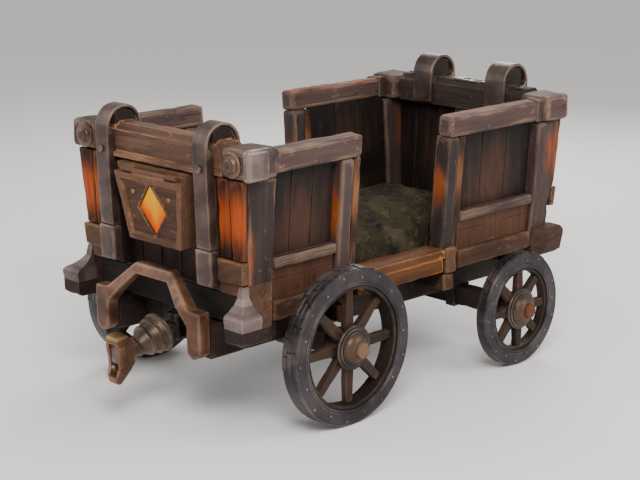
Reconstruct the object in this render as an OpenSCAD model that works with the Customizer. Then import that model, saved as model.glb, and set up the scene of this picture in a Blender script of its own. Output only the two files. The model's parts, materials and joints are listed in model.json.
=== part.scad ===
// Four-wheeled timber mine cart: open leaning box, side doorways, spoked wheels, drawbar with a
// coupler head, lamp box in the front wall, canvas-covered load.
// Length runs along Y with the front towards -Y, +Z is up, and the wheels stand on Z = 0.

/* [Body] */
// Length of the body over the corner caps
body_length = 1867; // [1560:1:2300]
// Width of the body over the corner caps
body_width = 1024; // [850:1:1230]
// Height from the underside of the floor to the top of the side rails
wall_height = 655; // [545:1:800]
// Outward lean of the side walls, in degrees
side_lean = 4; // [0:0.5:6]
// Outward lean of the end walls, in degrees
end_lean = 2.8; // [0:0.1:4]
// Distance from the front of the body to both doorways
doorway_start = 608; // [520:1:700]
// Width of both doorways
doorway_width = 505; // [400:1:610]

/* [Timber] */
// Thickness of the corner posts and the door posts
post_t = 80; // [66:1:96]
// Width of the corner posts along the sides
corner_post_w = 130; // [110:1:156]
// Width of the grey timber of a door post
door_post_w = 70; // [58:1:84]
// Width of the amber strip on a door post
amber_strip_w = 36; // [26:1:44]
// Height of the side top rails
rail_h = 90; // [75:1:108]
// Thickness of the side top rails
rail_t = 76; // [66:1:92]
// Thickness of the wall boards
board_t = 22; // [18:1:27]
// Thickness of the floor boards
floor_board_t = 32; // [26:1:38]
// Height of the longerons
longeron_h = 135; // [112:1:162]
// Width of the longerons
longeron_w = 75; // [62:1:90]
// Height of timber left over the front axle beam where the longerons are notched
over_axle_h = 78; // [65:1:94]
// Height of the front and rear beams on top of the end walls
beam_h = 125; // [104:1:150]
// Depth of the front and rear beams
beam_d = 116; // [96:1:140]

/* [Wheels] */
// Diameter of the front wheels
front_wheel_d = 604; // [504:1:720]
// Diameter of the rear wheels
rear_wheel_d = 478; // [398:1:570]
// Width of the front treads
front_tread_w = 82; // [68:1:98]
// Width of the rear treads
rear_tread_w = 54; // [48:1:65]
// Clearance between the body caps and the inner faces of the wheels
wheel_gap = 26; // [22:1:50]
// Distance from the front of the body to the front axle
front_axle_setback = 428; // [400:1:470]
// Distance from the rear of the body to the rear axle
rear_axle_setback = 430; // [400:1:470]
// Diameter of the axles
axle_d = 40; // [33:1:48]
// Radial depth of the iron side plates of the tyres
rim_plate_h = 62; // [50:1:74]
// Thickness of the iron tyre
tyre_t = 16; // [12:1:20]
// Number of spokes
spoke_count = 8; // [6:1:10]
// Diameter of the wooden nave of a wheel
nave_d = 130; // [108:1:156]

/* [Drawbar] */
// Downward slope of the drawbar at rest, in degrees
draw_slope = 16; // [12:1:19]
// Length of the drawbar from its pitch pin to the coupler head
draw_length = 180; // [160:1:216]
// Diameter of the drawbar's rear collar
collar_d = 160; // [134:1:170]
// Diameter of the upright king pin
king_pin_d = 22; // [18:1:26]
// Diameter of the drawbar's pitch pin
pitch_pin_d = 18; // [15:1:22]
// Width of the coupler head
coupler_w = 72; // [60:1:86]
// Diameter of the pin hole through the coupler head
coupling_hole_d = 16; // [13:1:19]

/* [Straps and lamp] */
// Width of the front hoops and their straps
front_strap_w = 76; // [63:1:90]
// Width of the rear hoops and their straps
rear_strap_w = 108; // [90:1:128]
// Distance of the front hoops' middles from the middle of the cart
front_hoop_x = 282; // [270:1:290]
// Distance of the rear hoops' middles from the middle of the cart
rear_hoop_x = 207; // [180:1:240]
// Thickness of the bent iron of the hoops
hoop_t = 14; // [11:1:17]
// Width of the lamp door along its top edge
lamp_top_w = 390; // [330:1:400]
// Width of the lamp door along its bottom edge
lamp_bottom_w = 300; // [250:1:325]
// Height of the lamp door
lamp_h = 262; // [220:1:270]
// Width of the diamond window
diamond_w = 157; // [130:1:188]
// Distance between the tips of the diamond window and the door frame
diamond_margin = 5; // [4:1:40]

/* [Hidden] */

round_fn = 64;
big = 4000;
ends = [0, 1];
sides = [-1, 1];

// Clearances
running = 0.05;   // radial play of a turning fit
seat = 0.15;      // play between curved pieces fixed to each other
slack = 0.3;      // gap between pieces that must not rub
butt = 0.05;      // gap where a board ends on a leaning post

// Heights, all from the front axle upwards
front_r = front_wheel_d / 2;
rear_r = rear_wheel_d / 2;
axle_beam_h = axle_d + 40;
axle_beam_d = axle_d + 40;
front_beam_top = front_r + axle_beam_h / 2;
rear_beam_top = rear_r + axle_beam_h / 2;
floor_z = front_beam_top + over_axle_h;
longeron_z = floor_z - longeron_h;
pad_min = 10;
pad_top = max(longeron_z, rear_beam_top + pad_min);
under_z = floor_z - 75;
rail_top = floor_z + wall_height;
beam_top = rail_top + 25;
beam_z = beam_top - beam_h;
cap_top = rail_top + 15;
sill_h = 80;
mid_rail_z = 200;
mid_rail_h = 60;
plinth_top = floor_z + 255;
plinth_mid = floor_z + 168;
plinth_low = floor_z + 122;
shoe_low = floor_z - 38;

// The side walls' outer plane passes through this half-width at floor height
cap_proud = 22;
half_w = body_width / 2;
base_half = half_w - cap_proud - wall_height * tan(side_lean);
function side_x(z, inset = 0) = base_half + (z - floor_z) * tan(side_lean) - inset / cos(side_lean);
// The end walls' outer plane
function end_y(z, inset = 0) = (rail_top - z) * tan(end_lean) + inset / cos(end_lean);

// Places along the body
cap_l = 157;
cap_w = 155;
post_back = end_y(floor_z) + corner_post_w + 8;
doorway_end = doorway_start + doorway_width;
door_post_all = door_post_w + amber_strip_w;
front_axle_y = front_axle_setback;
rear_axle_y = body_length - rear_axle_setback;
headstock_y = 120;
headstock_d = 90;
bow_half = 305;
longeron_in = bow_half - longeron_w;
outrigger_x = base_half - 5;
wheel_out = half_w + wheel_gap + front_tread_w;
hub_tip = wheel_out + 50;
function wheel_in(tread) = wheel_out - tread;
function hub_in(tread) = wheel_in(tread) - 23;

// End wall layers, measured inwards from its outer plane
post_inset = board_t;
wall_inset = 45;
batten_front = 5;
beam_front = end_y(beam_z, batten_front);
strap_depth = 40;
hoop_x = [front_hoop_x, rear_hoop_x];
strap_half = [front_strap_w / 2, rear_strap_w / 2];
socket_half = [for (half = strap_half) half + 6];
plinth_in = [for (end = ends) hoop_x[end] + socket_half[end]];
shoe_in = base_half - 16;

// Hoops
arch_front = beam_front - strap_depth;
arch_back = beam_front + beam_d + hoop_t;
arch_r = (arch_back - arch_front) / 2;
arch_y = (arch_back + arch_front) / 2;
arch_z = [beam_top - 20, beam_top + 10];
beam_chamfer = 26;
socket_top = plinth_top + 25;
socket_low = plinth_low + 18;

// Drawbar
draw_z = floor_z - 87;
pivot_y = headstock_y - 92;
king_y = headstock_y - 38;
barrel_r = king_pin_d / 2 + 15;
barrel_h = 80;
tongue_r = pitch_pin_d / 2 + 13;
tongue_half = 20;
lug_t = 14;
cheek_t = 18;
collar_s = tongue_r + 2;
neck_r = 30;
head_y = pivot_y - draw_length * cos(draw_slope);
head_z = draw_z - draw_length * sin(draw_slope);
head_len = 84;
head_half = coupler_w / 2;
mouth_half = head_half - 16;

// Lamp
lamp_lean = 7.3;
lamp_z = floor_z + 250;
lamp_y = end_y(lamp_z) - 30;
lamp_t = 24;
lamp_rim = 26;
diamond_h = lamp_h - 2 * (lamp_rim + diamond_margin);
knuckle_r = 10;
case_wall = 14;
hinge_v = lamp_h + knuckle_r + 2;

// The origin is in the middle of everything that sticks out, front and rear
front_reach = head_len - head_y;
rear_reach = body_length - arch_front;
y_shift = -(rear_reach - front_reach) / 2;

// ---------------------------------------------------------------- places

module placed() { translate([0, y_shift, 0]) children(); }

// Mirror onto the left (-1) or the right (1) side
module on_side(side) { mirror([side < 0 ? 1 : 0, 0, 0]) children(); }

// Mirror onto the front (0) or the rear (1) end
module on_end(end) { translate([0, end * body_length, 0]) mirror([0, end, 0]) children(); }

// The right side wall's own frame: X outwards, Y along, Z up the leaning wall
module wall_frame(side) { on_side(side) translate([base_half, 0, floor_z]) rotate([0, side_lean, 0]) children(); }

// The lamp door's own frame: Y inwards, Z up the leaning face
module lamp_frame() { translate([0, lamp_y, lamp_z]) rotate([lamp_lean, 0, 0]) children(); }

// The drawbar's own frame: Z along the bar towards the coupler
module draw_frame() { translate([0, pivot_y, draw_z]) rotate([90 + draw_slope, 0, 0]) children(); }

module block(low, high) { translate(low) cube(high - low); }

// An outline drawn in X and Z, running from y0 to y1
module across(y0, y1) { translate([0, y1, 0]) rotate([90, 0, 0]) linear_extrude(y1 - y0) children(); }

// An outline drawn in Y and Z, running from x0 to x1
module along(x0, x1) { translate([x0, 0, 0]) rotate([90, 0, 90]) linear_extrude(x1 - x0) children(); }

module rod(r, x0, x1) { translate([x0, 0, 0]) rotate([0, 90, 0]) cylinder(r = r, h = x1 - x0, $fn = round_fn); }

// Slab of the end wall between two insets and two heights, as wide as the cart
module end_slab(in0, in1, z0, z1) {
    along(-big / 2, big / 2) polygon([
        [end_y(z0, in0), z0], [end_y(z0, in1), z0], [end_y(z1, in1), z1], [end_y(z1, in0), z1]
    ]);
}

// Leaning outline from x0 to the side wall's plane less an inset
module side_outline(x0, inset, z0, z1) {
    across(-big / 2, big / 2) polygon([
        [x0, z0], [side_x(z0, inset), z0], [side_x(z1, inset), z1], [x0, z1]
    ]);
}

// ---------------------------------------------------------------- chassis

bow_front = -65;
bow_depth = 58;
longeron_y0 = bow_front + bow_depth;

module longeron_bars() {
    for (side = sides) on_side(side)
        block([longeron_in, longeron_y0, longeron_z], [bow_half, body_length - longeron_y0 - 40, floor_z]);
}

// Notched over both axle beams
module longerons() {
    color("#3a2a22") placed() difference() {
        longeron_bars();
        block([-half_w, front_axle_y - axle_beam_d / 2, 0], [half_w, front_axle_y + axle_beam_d / 2, front_beam_top]);
        block([-half_w, rear_axle_y - axle_beam_d / 2, 0], [half_w, rear_axle_y + axle_beam_d / 2, pad_top]);
    }
}

// Timbers across the cart under the door posts, in three lengths between and outside the longerons
module cross_members() {
    member_w = 80;
    color("#33251f") placed()
        for (y = [doorway_start - door_post_all / 2, doorway_end + door_post_all / 2]) {
            block([-longeron_in, y - member_w / 2, under_z + 5], [longeron_in, y + member_w / 2, floor_z]);
            for (side = sides) on_side(side)
                block([bow_half, y - member_w / 2, under_z], [outrigger_x, y + member_w / 2, floor_z]);
        }
}

module floor_boards() {
    first = post_back + 4;
    last = body_length - post_back - 4;
    count = 10;
    pitch = (last - first) / count;
    half = base_half - post_t - 2;
    color("#4a372b") placed() {
        for (i = [0:count - 1])
            block([-half, first + i * pitch, floor_z], [half, first + (i + 1) * pitch - 1, floor_z + floor_board_t]);
        for (end = ends) on_end(end)
            block([-half, end_y(floor_z, 92), floor_z], [half, first - 1, floor_z + floor_board_t]);
    }
}

// The end timbers under the body; the middle hangs lower to carry the drawbar
module headstocks() {
    belly = 70;
    color("#3b2b24") placed() for (end = ends) on_end(end) {
        across(headstock_y, headstock_y + headstock_d) polygon([
            [-longeron_in, floor_z], [-longeron_in, under_z], [-longeron_in + 50, under_z - belly],
            [longeron_in - 50, under_z - belly], [longeron_in, under_z], [longeron_in, floor_z]
        ]);
        for (side = sides) on_side(side)
            block([bow_half, headstock_y, under_z], [shoe_in - 1, headstock_y + headstock_d, floor_z]);
    }
}

module end_sills() {
    half = base_half - post_t - 2;
    color("#35271f") placed() for (end = ends) on_end(end)
        intersection() {
            end_slab(post_inset + butt, 90, floor_z, plinth_low);
            block([-half, -100, floor_z - 1], [half, 300, plinth_low + 1]);
        }
}

// ---------------------------------------------------------------- axles and wheels

// An axle with a collar inside each hub
module axle(y, z, tread) {
    collar_r = axle_d / 2 + 16;
    color("#4b4d52") placed() translate([0, y, z]) {
        rod(axle_d / 2, -(wheel_out + 22), wheel_out + 22);
        for (side = sides) on_side(side) rod(collar_r, hub_in(tread) - 17, hub_in(tread) - slack);
    }
}

module front_axle() { axle(front_axle_y, front_r, front_tread_w); }
module rear_axle() { axle(rear_axle_y, rear_r, rear_tread_w); }

module axle_beam(y, z, tread) {
    reach = hub_in(tread) - 18;
    color("#3f2e25") placed() translate([0, y, z]) difference() {
        block([-reach, -axle_beam_d / 2, -axle_beam_h / 2], [reach, axle_beam_d / 2, axle_beam_h / 2]);
        rod(axle_d / 2 + running, -reach - 1, reach + 1);
    }
}

module front_axle_beam() { axle_beam(front_axle_y, front_r, front_tread_w); }
module rear_axle_beam() { axle_beam(rear_axle_y, rear_r, rear_tread_w); }

// Packing between the rear axle beam and the longerons
module rear_bolster() {
    color("#33251e") placed()
        block([-bow_half, rear_axle_y - axle_beam_d / 2, rear_beam_top],
              [bow_half, rear_axle_y + axle_beam_d / 2, pad_top]);
}

// Flat iron straps that hold each axle beam up to the longerons
module axle_straps() {
    strap_t = 8;
    width = 50;
    color("#55565c") placed() difference() {
        for (axle = [[front_axle_y, front_r], [rear_axle_y, rear_r]], side = sides) on_side(side)
            translate([bow_half - longeron_w / 2 - width / 2, axle[0], 0]) difference() {
                outer = axle_beam_d / 2 + strap_t;
                low = axle[1] - axle_beam_h / 2;
                block([0, -outer, low - strap_t], [width, outer, longeron_z]);
                block([-1, -outer + strap_t, low], [width + 1, outer - strap_t, floor_z]);
            }
        longeron_bars();
    }
}

// Turned about X: an outline of points [radius, x] spun round the axle line
module spun(points) { rotate([0, 90, 0]) rotate_extrude($fn = 96) polygon(points); }

module at_wheel(side, y, r) { placed() translate([0, y, r]) on_side(side) children(); }

// Iron tyre with a side plate each side, and rivet heads on the outer plate
module tyre(side, y, r, tread) {
    plate_t = 6;
    plate_r = r - rim_plate_h;
    inside = wheel_in(tread);
    rivet_r = r - rim_plate_h / 2;
    color("#3c3e48") at_wheel(side, y, r) {
        spun([
            [plate_r, inside], [r - 2, inside], [r, inside + 2], [r, wheel_out - 2], [r - 2, wheel_out],
            [plate_r, wheel_out], [plate_r, wheel_out - plate_t], [r - tyre_t, wheel_out - plate_t],
            [r - tyre_t, inside + plate_t], [plate_r, inside + plate_t]
        ]);
        for (i = [0:15]) rotate([(i + 0.5) * 360 / 16, 0, 0]) translate([0, 0, rivet_r])
            rod(7, wheel_out + 0.01, wheel_out + 4);
    }
}

felloe_depth = 16;

// Wooden rim inside the tyre, a little deeper than the side plates
module felloe(side, y, r, tread) {
    plate_t = 6;
    outer = r - tyre_t - seat;
    inner = r - rim_plate_h - felloe_depth;
    inside = wheel_in(tread) + plate_t + seat;
    color("#4a3527") at_wheel(side, y, r)
        spun([[inner, inside], [outer, inside],
              [outer, wheel_out - plate_t - seat], [inner, wheel_out - plate_t - seat]]);
}

// Tapered spokes, cut to the nave and to the rim
module spokes(side, y, r, tread) {
    spoke_t = 30;
    root_w = 46;
    tip_w = 34;
    root = nave_d / 2 + seat;
    tip = r - rim_plate_h - felloe_depth - seat;
    mid = wheel_out - tread / 2;
    color("#5b3d28") at_wheel(side, y, r) intersection() {
        for (i = [0:spoke_count - 1]) rotate([i * 360 / spoke_count, 0, 0])
            along(mid - spoke_t / 2, mid + spoke_t / 2) polygon([
                [-root_w / 2, root - 10], [root_w / 2, root - 10], [tip_w / 2, tip + 10], [-tip_w / 2, tip + 10]
            ]);
        difference() {
            rod(tip, mid - spoke_t, mid + spoke_t);
            rod(root, mid - spoke_t - 1, mid + spoke_t + 1);
        }
    }
}

// Stepped hub with a blind bore for the axle
module hub(side, y, r, tread) {
    bore = axle_d / 2 + running;
    nave = nave_d / 2;
    flange = nave + 20;
    blind = wheel_out + 22 + slack;
    inside = hub_in(tread);
    color("#5a4030") at_wheel(side, y, r)
        spun([
            [bore, inside], [nave - 12, inside], [nave, inside + 12], [nave, wheel_out - 12],
            [flange, wheel_out - 12], [flange, wheel_out - 2], [nave + 8, wheel_out + 2], [nave - 2, wheel_out + 12],
            [nave - 18, wheel_out + 26], [nave - 24, wheel_out + 30], [axle_d / 2 + 11.5, wheel_out + 32],
            [axle_d / 2 + 11.5, hub_tip - 6], [axle_d / 2 + 6, hub_tip], [0, hub_tip], [0, blind], [bore, blind]
        ]);
}

module front_left_tyre() { tyre(-1, front_axle_y, front_r, front_tread_w); }
module front_right_tyre() { tyre(1, front_axle_y, front_r, front_tread_w); }
module rear_left_tyre() { tyre(-1, rear_axle_y, rear_r, rear_tread_w); }
module rear_right_tyre() { tyre(1, rear_axle_y, rear_r, rear_tread_w); }
module front_left_felloe() { felloe(-1, front_axle_y, front_r, front_tread_w); }
module front_right_felloe() { felloe(1, front_axle_y, front_r, front_tread_w); }
module rear_left_felloe() { felloe(-1, rear_axle_y, rear_r, rear_tread_w); }
module rear_right_felloe() { felloe(1, rear_axle_y, rear_r, rear_tread_w); }
module front_left_spokes() { spokes(-1, front_axle_y, front_r, front_tread_w); }
module front_right_spokes() { spokes(1, front_axle_y, front_r, front_tread_w); }
module rear_left_spokes() { spokes(-1, rear_axle_y, rear_r, rear_tread_w); }
module rear_right_spokes() { spokes(1, rear_axle_y, rear_r, rear_tread_w); }
module front_left_hub() { hub(-1, front_axle_y, front_r, front_tread_w); }
module front_right_hub() { hub(1, front_axle_y, front_r, front_tread_w); }
module rear_left_hub() { hub(-1, rear_axle_y, rear_r, rear_tread_w); }
module rear_right_hub() { hub(1, rear_axle_y, rear_r, rear_tread_w); }

// ---------------------------------------------------------------- drawbar

module upright(r, z0, z1) { translate([0, 0, z0]) cylinder(r = r, h = z1 - z0, $fn = round_fn); }

// Flange on the front headstock with an upper and a lower lug for the king pin
module draw_socket() {
    flange_t = 10;
    lug_r = barrel_r + 4;
    lug_z = barrel_h / 2 + slack;
    color("#47433f") placed() translate([0, 0, draw_z]) difference() {
        union() {
            block([-105, headstock_y - flange_t, -56], [105, headstock_y, 84]);
            for (flip = sides) mirror([0, 0, flip < 0 ? 1 : 0]) {
                translate([0, king_y, 0]) upright(lug_r, lug_z, lug_z + lug_t);
                block([-lug_r, king_y, lug_z], [lug_r, headstock_y - flange_t, lug_z + lug_t]);
            }
        }
        translate([0, king_y, 0]) upright(king_pin_d / 2 + running, -big / 20, big / 20);
    }
}

module king_pin() {
    top = barrel_h / 2 + slack + lug_t;
    color("#6b6a6c") placed() translate([0, king_y, draw_z]) {
        upright(king_pin_d / 2, -top - 4, top + 1);
        upright(king_pin_d / 2 + 6, top + slack, top + 10);
    }
}

// Block that swings on the king pin; its tongue takes the pitch pin and its nose stops the bar
module draw_knuckle() {
    nose_low = -barrel_h / 2;
    nose_top = -tongue_r - 2;
    gap = slack / cos(draw_slope);
    function collar_face(z) = pivot_y - (collar_s - gap + z * sin(draw_slope)) / cos(draw_slope);
    color("#4f4a45") placed() translate([0, 0, draw_z]) difference() {
        union() {
            translate([0, king_y, 0]) upright(barrel_r, -barrel_h / 2, barrel_h / 2);
            translate([0, pivot_y, 0]) rod(tongue_r, -tongue_half, tongue_half);
            block([-tongue_half, pivot_y, -tongue_r], [tongue_half, king_y, tongue_r]);
            along(-tongue_half, tongue_half) polygon([
                [king_y, -tongue_r + 1], [king_y, nose_low], [collar_face(nose_low), nose_low],
                [collar_face(nose_top), nose_top], [pivot_y, nose_top], [pivot_y + 8, -tongue_r + 1]
            ]);
        }
        translate([0, king_y, 0]) upright(king_pin_d / 2 + running, -big / 20, big / 20);
        translate([0, pivot_y, 0]) rod(pitch_pin_d / 2 + running, -tongue_half - 1, tongue_half + 1);
    }
}

module pitch_pin() {
    reach = tongue_half + slack + cheek_t;
    color("#6b6a6c") placed() translate([0, pivot_y, draw_z]) {
        rod(pitch_pin_d / 2, -reach - 8, reach + 1);
        rod(pitch_pin_d / 2 + 6, reach + slack, reach + 9);
    }
}

// Ribbed, tapering sleeve with two cheeks that straddle the knuckle's tongue
module draw_sleeve() {
    collar_r = collar_d / 2;
    cheek_in = tongue_half + slack;
    color("#6d6257") placed() difference() {
        draw_frame() union() {
            rotate_extrude($fn = 72) polygon([
                [0, collar_s], [collar_r - 3, collar_s], [collar_r, collar_s + 3], [collar_r, collar_s + 13],
                [collar_r - 8, collar_s + 18], [collar_r - 12, 58], [collar_r - 6, 59], [collar_r - 6, 67],
                [collar_r - 16, 68], [collar_r - 24, 98], [collar_r - 18, 99], [collar_r - 18, 107],
                [collar_r - 28, 109], [neck_r + 7, 144], [neck_r + 11, 145], [neck_r + 11, 153],
                [neck_r + 2, 155], [neck_r, draw_length], [neck_r, draw_length + 14], [0, draw_length + 14]
            ]);
            for (side = sides) on_side(side) {
                rod(tongue_r, cheek_in, cheek_in + cheek_t);
                block([cheek_in, -tongue_r, 0], [cheek_in + cheek_t, tongue_r, collar_s + 1]);
            }
        }
        draw_frame() rod(pitch_pin_d / 2 + seat, -big / 20, big / 20);
        at_head() block([-2 * neck_r, head_back - seat, -2 * neck_r], [2 * neck_r, 2 * neck_r, 2 * neck_r]);
    }
}

// Outline of the coupler head, forwards and up from the end of the sleeve
head_back = 1;
head_outline = [
    [head_back, -36], [head_back, 45], [14, 60], [30, 66], [84, 50], [84, 28], [75, -18], [74, -56], [84, -80],
    [82, -104], [76, -113], [62, -113]
];

module at_head() { translate([0, head_y, head_z]) mirror([0, 1, 0]) children(); }

tip_taper = 12;
taper_z = -66;
coupling_f = 62;
coupling_z = -56;
tongue_pin_f = 62;
tongue_pin_z = 30;
tongue_pin_r = 6;
mouth_back = 34;
mouth_low = -86;
mouth_top = 42;

// Two cheeks joined at the back, with a mouth between them for a link
module coupler_head() {
    color("#4a342c") placed() at_head() difference() {
        intersection() {
            along(-head_half, head_half) polygon(head_outline);
            across(-100, 100) polygon([
                [-head_half, 80], [-head_half, taper_z], [-head_half + tip_taper, -114],
                [head_half - tip_taper, -114], [head_half, taper_z], [head_half, 80]
            ]);
        }
        block([-mouth_half, mouth_back, mouth_low], [mouth_half, 100, mouth_top]);
        translate([0, tongue_pin_f, tongue_pin_z]) rod(tongue_pin_r, -head_half - 1, head_half + 1);
        translate([0, coupling_f, coupling_z]) rod(coupling_hole_d / 2, -head_half - 1, head_half + 1);
    }
    color("#6b6a6c") placed() at_head() translate([0, tongue_pin_f, tongue_pin_z])
        rod(tongue_pin_r - running, -head_half - 2, head_half + 2);
}

// Brass cap over the top of the coupler head
module coupler_lip() {
    lip_half = head_half + 1;
    color("#b08a3c") placed() at_head() along(-lip_half, lip_half) polygon([
        [30, 66.2], [84, 50.2], [85, 60], [80, 68], [66, 74.5], [40, 76], [30, 72]
    ]);
}

// Swinging tongue that closes the mouth behind a link
module coupler_tongue() {
    half = mouth_half - slack;
    color("#8d8680") placed() at_head() difference() {
        union() {
            translate([0, tongue_pin_f, tongue_pin_z]) rod(11, -half, half);
            along(-half, half) polygon([
                [52, 30], [73, 30], [75, 12], [71, -8], [72, -30], [66, -38], [58, -36], [54, -14]
            ]);
        }
        translate([0, tongue_pin_f, tongue_pin_z]) rod(tongue_pin_r + running, -half - 1, half + 1);
    }
}

// ---------------------------------------------------------------- front bow

// Cranked bar over the drawbar, with a foot on the end of each longeron
module bow_bracket() {
    foot_in = longeron_in;
    foot_low = floor_z - 114;
    foot_top = floor_z + 50;
    peak_half = 104;
    peak_top = floor_z + 166;
    bar = 44;
    knee = foot_top - 62;
    lean_back = 42;
    peak_depth = 40;
    color("#8a5a3c") placed() intersection() {
        across(-200, 200) polygon([
            [-bow_half, foot_low], [-bow_half, foot_top], [-foot_in - 10, foot_top], [-peak_half, peak_top],
            [peak_half, peak_top], [foot_in + 10, foot_top], [bow_half, foot_top], [bow_half, foot_low],
            [bow_half - 40, foot_low - 22], [foot_in + 2, foot_low], [foot_in, knee],
            [peak_half - 12, peak_top - bar], [-peak_half + 12, peak_top - bar],
            [-foot_in, knee], [-foot_in - 2, foot_low], [-bow_half + 40, foot_low - 22]
        ]);
        along(-bow_half - 1, bow_half + 1) polygon([
            [bow_front, foot_low - 30], [bow_front, foot_top], [bow_front + lean_back, peak_top + 1],
            [bow_front + lean_back + peak_depth, peak_top + 1], [longeron_y0, foot_top], [longeron_y0, foot_low - 30]
        ]);
    }
}

// ---------------------------------------------------------------- end walls

// Upright boards between two half-widths; the outer ones follow the leaning side
module upright_boards(count, half, inset_side, in0, in1, z0, z1) {
    pitch = 2 * half / count;
    for (i = [0:count - 1]) intersection() {
        end_slab(in0, in1, z0, z1);
        block([-half + i * pitch + 1, -big, z0 - 1], [-half + (i + 1) * pitch - 1, big, z1 + 1]);
        union() for (side = sides) on_side(side) side_outline(-1, inset_side, z0, z1);
    }
}

module end_boards() {
    half = side_x(beam_z, post_t + 1);
    color("#3b2620") placed() for (end = ends) on_end(end) {
        upright_boards(7, half, post_t + 1, wall_inset, wall_inset + board_t, plinth_low, beam_z);
        intersection() {
            end_slab(4, post_inset, floor_z + 6, plinth_low - 2);
            block([-shoe_in + 2, -big, 0], [shoe_in - 2, big, big]);
        }
    }
}

// Amber boards: two on each outer end panel, one strip on each door post and rear corner post
module amber_boards() {
    color("#b5571c") placed() {
        for (end = ends) on_end(end) for (side = sides) on_side(side) {
            x0 = plinth_in[end] + 6;
            x1 = (x0 + side_x(plinth_top, 6)) / 2;
            for (piece = [[x0, x1 - 2], [x1 + 2, big]]) intersection() {
                end_slab(0, post_inset, plinth_top + slack, beam_z);
                block([piece[0], -big, 0], [piece[1], big, big]);
                side_outline(x0, 6, plinth_top, beam_z);
            }
        }
        for (side = sides) wall_frame(side) {
            for (y = [doorway_start - amber_strip_w, doorway_end + door_post_w])
                block([-post_t + 6, y, 0], [-4, y + amber_strip_w, wall_height - rail_h]);
        }
    }
}

// Each beam carries a rounded saddle block under every hoop
module end_beams() {
    half = half_w - cap_w - 0.5;
    color("#8c5f45") placed() for (end = ends) on_end(end) {
        moulding_half = hoop_x[end] - strap_half[end] - 1;
        along(-half, half) polygon([
            [beam_front, beam_z], [beam_front + beam_d, beam_z], [beam_front + beam_d, beam_top - beam_chamfer],
            [beam_front + beam_d - beam_chamfer, beam_top], [beam_front + beam_chamfer, beam_top],
            [beam_front, beam_top - beam_chamfer]
        ]);
        block([-moulding_half, beam_front - 18, beam_z - 4], [moulding_half, beam_front, beam_z + 18]);
        for (side = sides) on_side(side)
            along(hoop_x[end] - strap_half[end] + 4, hoop_x[end] + strap_half[end] - 4) intersection() {
                translate([arch_y, arch_z[end]]) circle(r = arch_r - hoop_t - slack, $fn = round_fn);
                translate([beam_front + slack, beam_z + beam_h / 2]) square([beam_d - 2 * slack, big]);
            }
    }
}

// Stepped ledges at the foot of each outer end panel
module plinths() {
    color("#46342c") placed() for (end = ends) on_end(end) for (side = sides) on_side(side) {
        intersection() {
            end_slab(-14, post_inset, plinth_mid, plinth_top);
            side_outline(plinth_in[end] + 1, 0, plinth_mid, plinth_top);
        }
        intersection() {
            end_slab(-6, post_inset, plinth_low, plinth_mid);
            block([plinth_in[end] + 1, -big, 0], [shoe_in - 2, big, big]);
        }
    }
}

module strap_battens() {
    color("#2f211b") placed() for (end = ends) on_end(end) for (side = sides) on_side(side) {
        half = strap_half[end] - 2;
        intersection() {
            end_slab(batten_front, wall_inset, plinth_low, beam_z);
            block([hoop_x[end] - half, -big, 0], [hoop_x[end] + half, big, big]);
        }
    }
}

module strap_sockets() {
    color("#4d4a4a") placed() for (end = ends) on_end(end) for (side = sides) on_side(side) {
        intersection() {
            end_slab(-42, batten_front, socket_low, socket_top);
            block([hoop_x[end] - socket_half[end], -big, 0], [hoop_x[end] + socket_half[end], big, big]);
        }
    }
}

// Strap up the end wall that arches over the beam and comes down behind it
module hoops() {
    drop = end_y(socket_top) - end_y(beam_z);
    color("#57535a") placed() for (end = ends) on_end(end) for (side = sides) on_side(side)
        along(hoop_x[end] - strap_half[end], hoop_x[end] + strap_half[end]) {
            z = arch_z[end];
            difference() {
                translate([arch_y, z]) circle(r = arch_r, $fn = round_fn);
                translate([arch_y, z]) circle(r = arch_r - hoop_t, $fn = round_fn);
                translate([-big / 2, z - big]) square([big, big]);
            }
            polygon([
                [arch_front, z], [arch_front + hoop_t, z], [beam_front, beam_top - 50],
                [beam_front, beam_z], [beam_front + drop, socket_top], [arch_front + drop, socket_top],
                [arch_front, beam_z]
            ]);
            translate([arch_back - hoop_t, beam_z + 10]) square([hoop_t, z - beam_z - 10]);
        }
}

// Upright post against the inside of the rear wall
module rear_centre_post() {
    half = 42;
    color("#55463b") placed() on_end(1) intersection() {
        end_slab(wall_inset + board_t, wall_inset + board_t + 40, plinth_low, beam_z);
        block([-half, -big, 0], [half, big, big]);
    }
}

// ---------------------------------------------------------------- corners

module corner_posts() {
    color("#4f3d35") placed() for (end = ends) on_end(end) for (side = sides) on_side(side)
        intersection() {
            side_outline(0, 0, floor_z, beam_z);
            translate([-post_t / cos(side_lean), 0, 0]) side_outline_outer(floor_z, beam_z);
            along(0, big) polygon([
                [end_y(floor_z, post_inset), floor_z], [post_back, floor_z], [post_back, beam_z],
                [end_y(beam_z, post_inset), beam_z]
            ]);
        }
}

// Everything outside the side wall's plane
module side_outline_outer(z0, z1) {
    across(-big / 2, big / 2) polygon([[side_x(z0), z0], [big, z0], [big, z1], [side_x(z1), z1]]);
}

module corner_caps() {
    color("#66575a") placed() for (end = ends) on_end(end) for (side = sides) on_side(side)
        block([half_w - cap_w, 0, beam_z], [half_w, cap_l, cap_top]);
}

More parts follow.
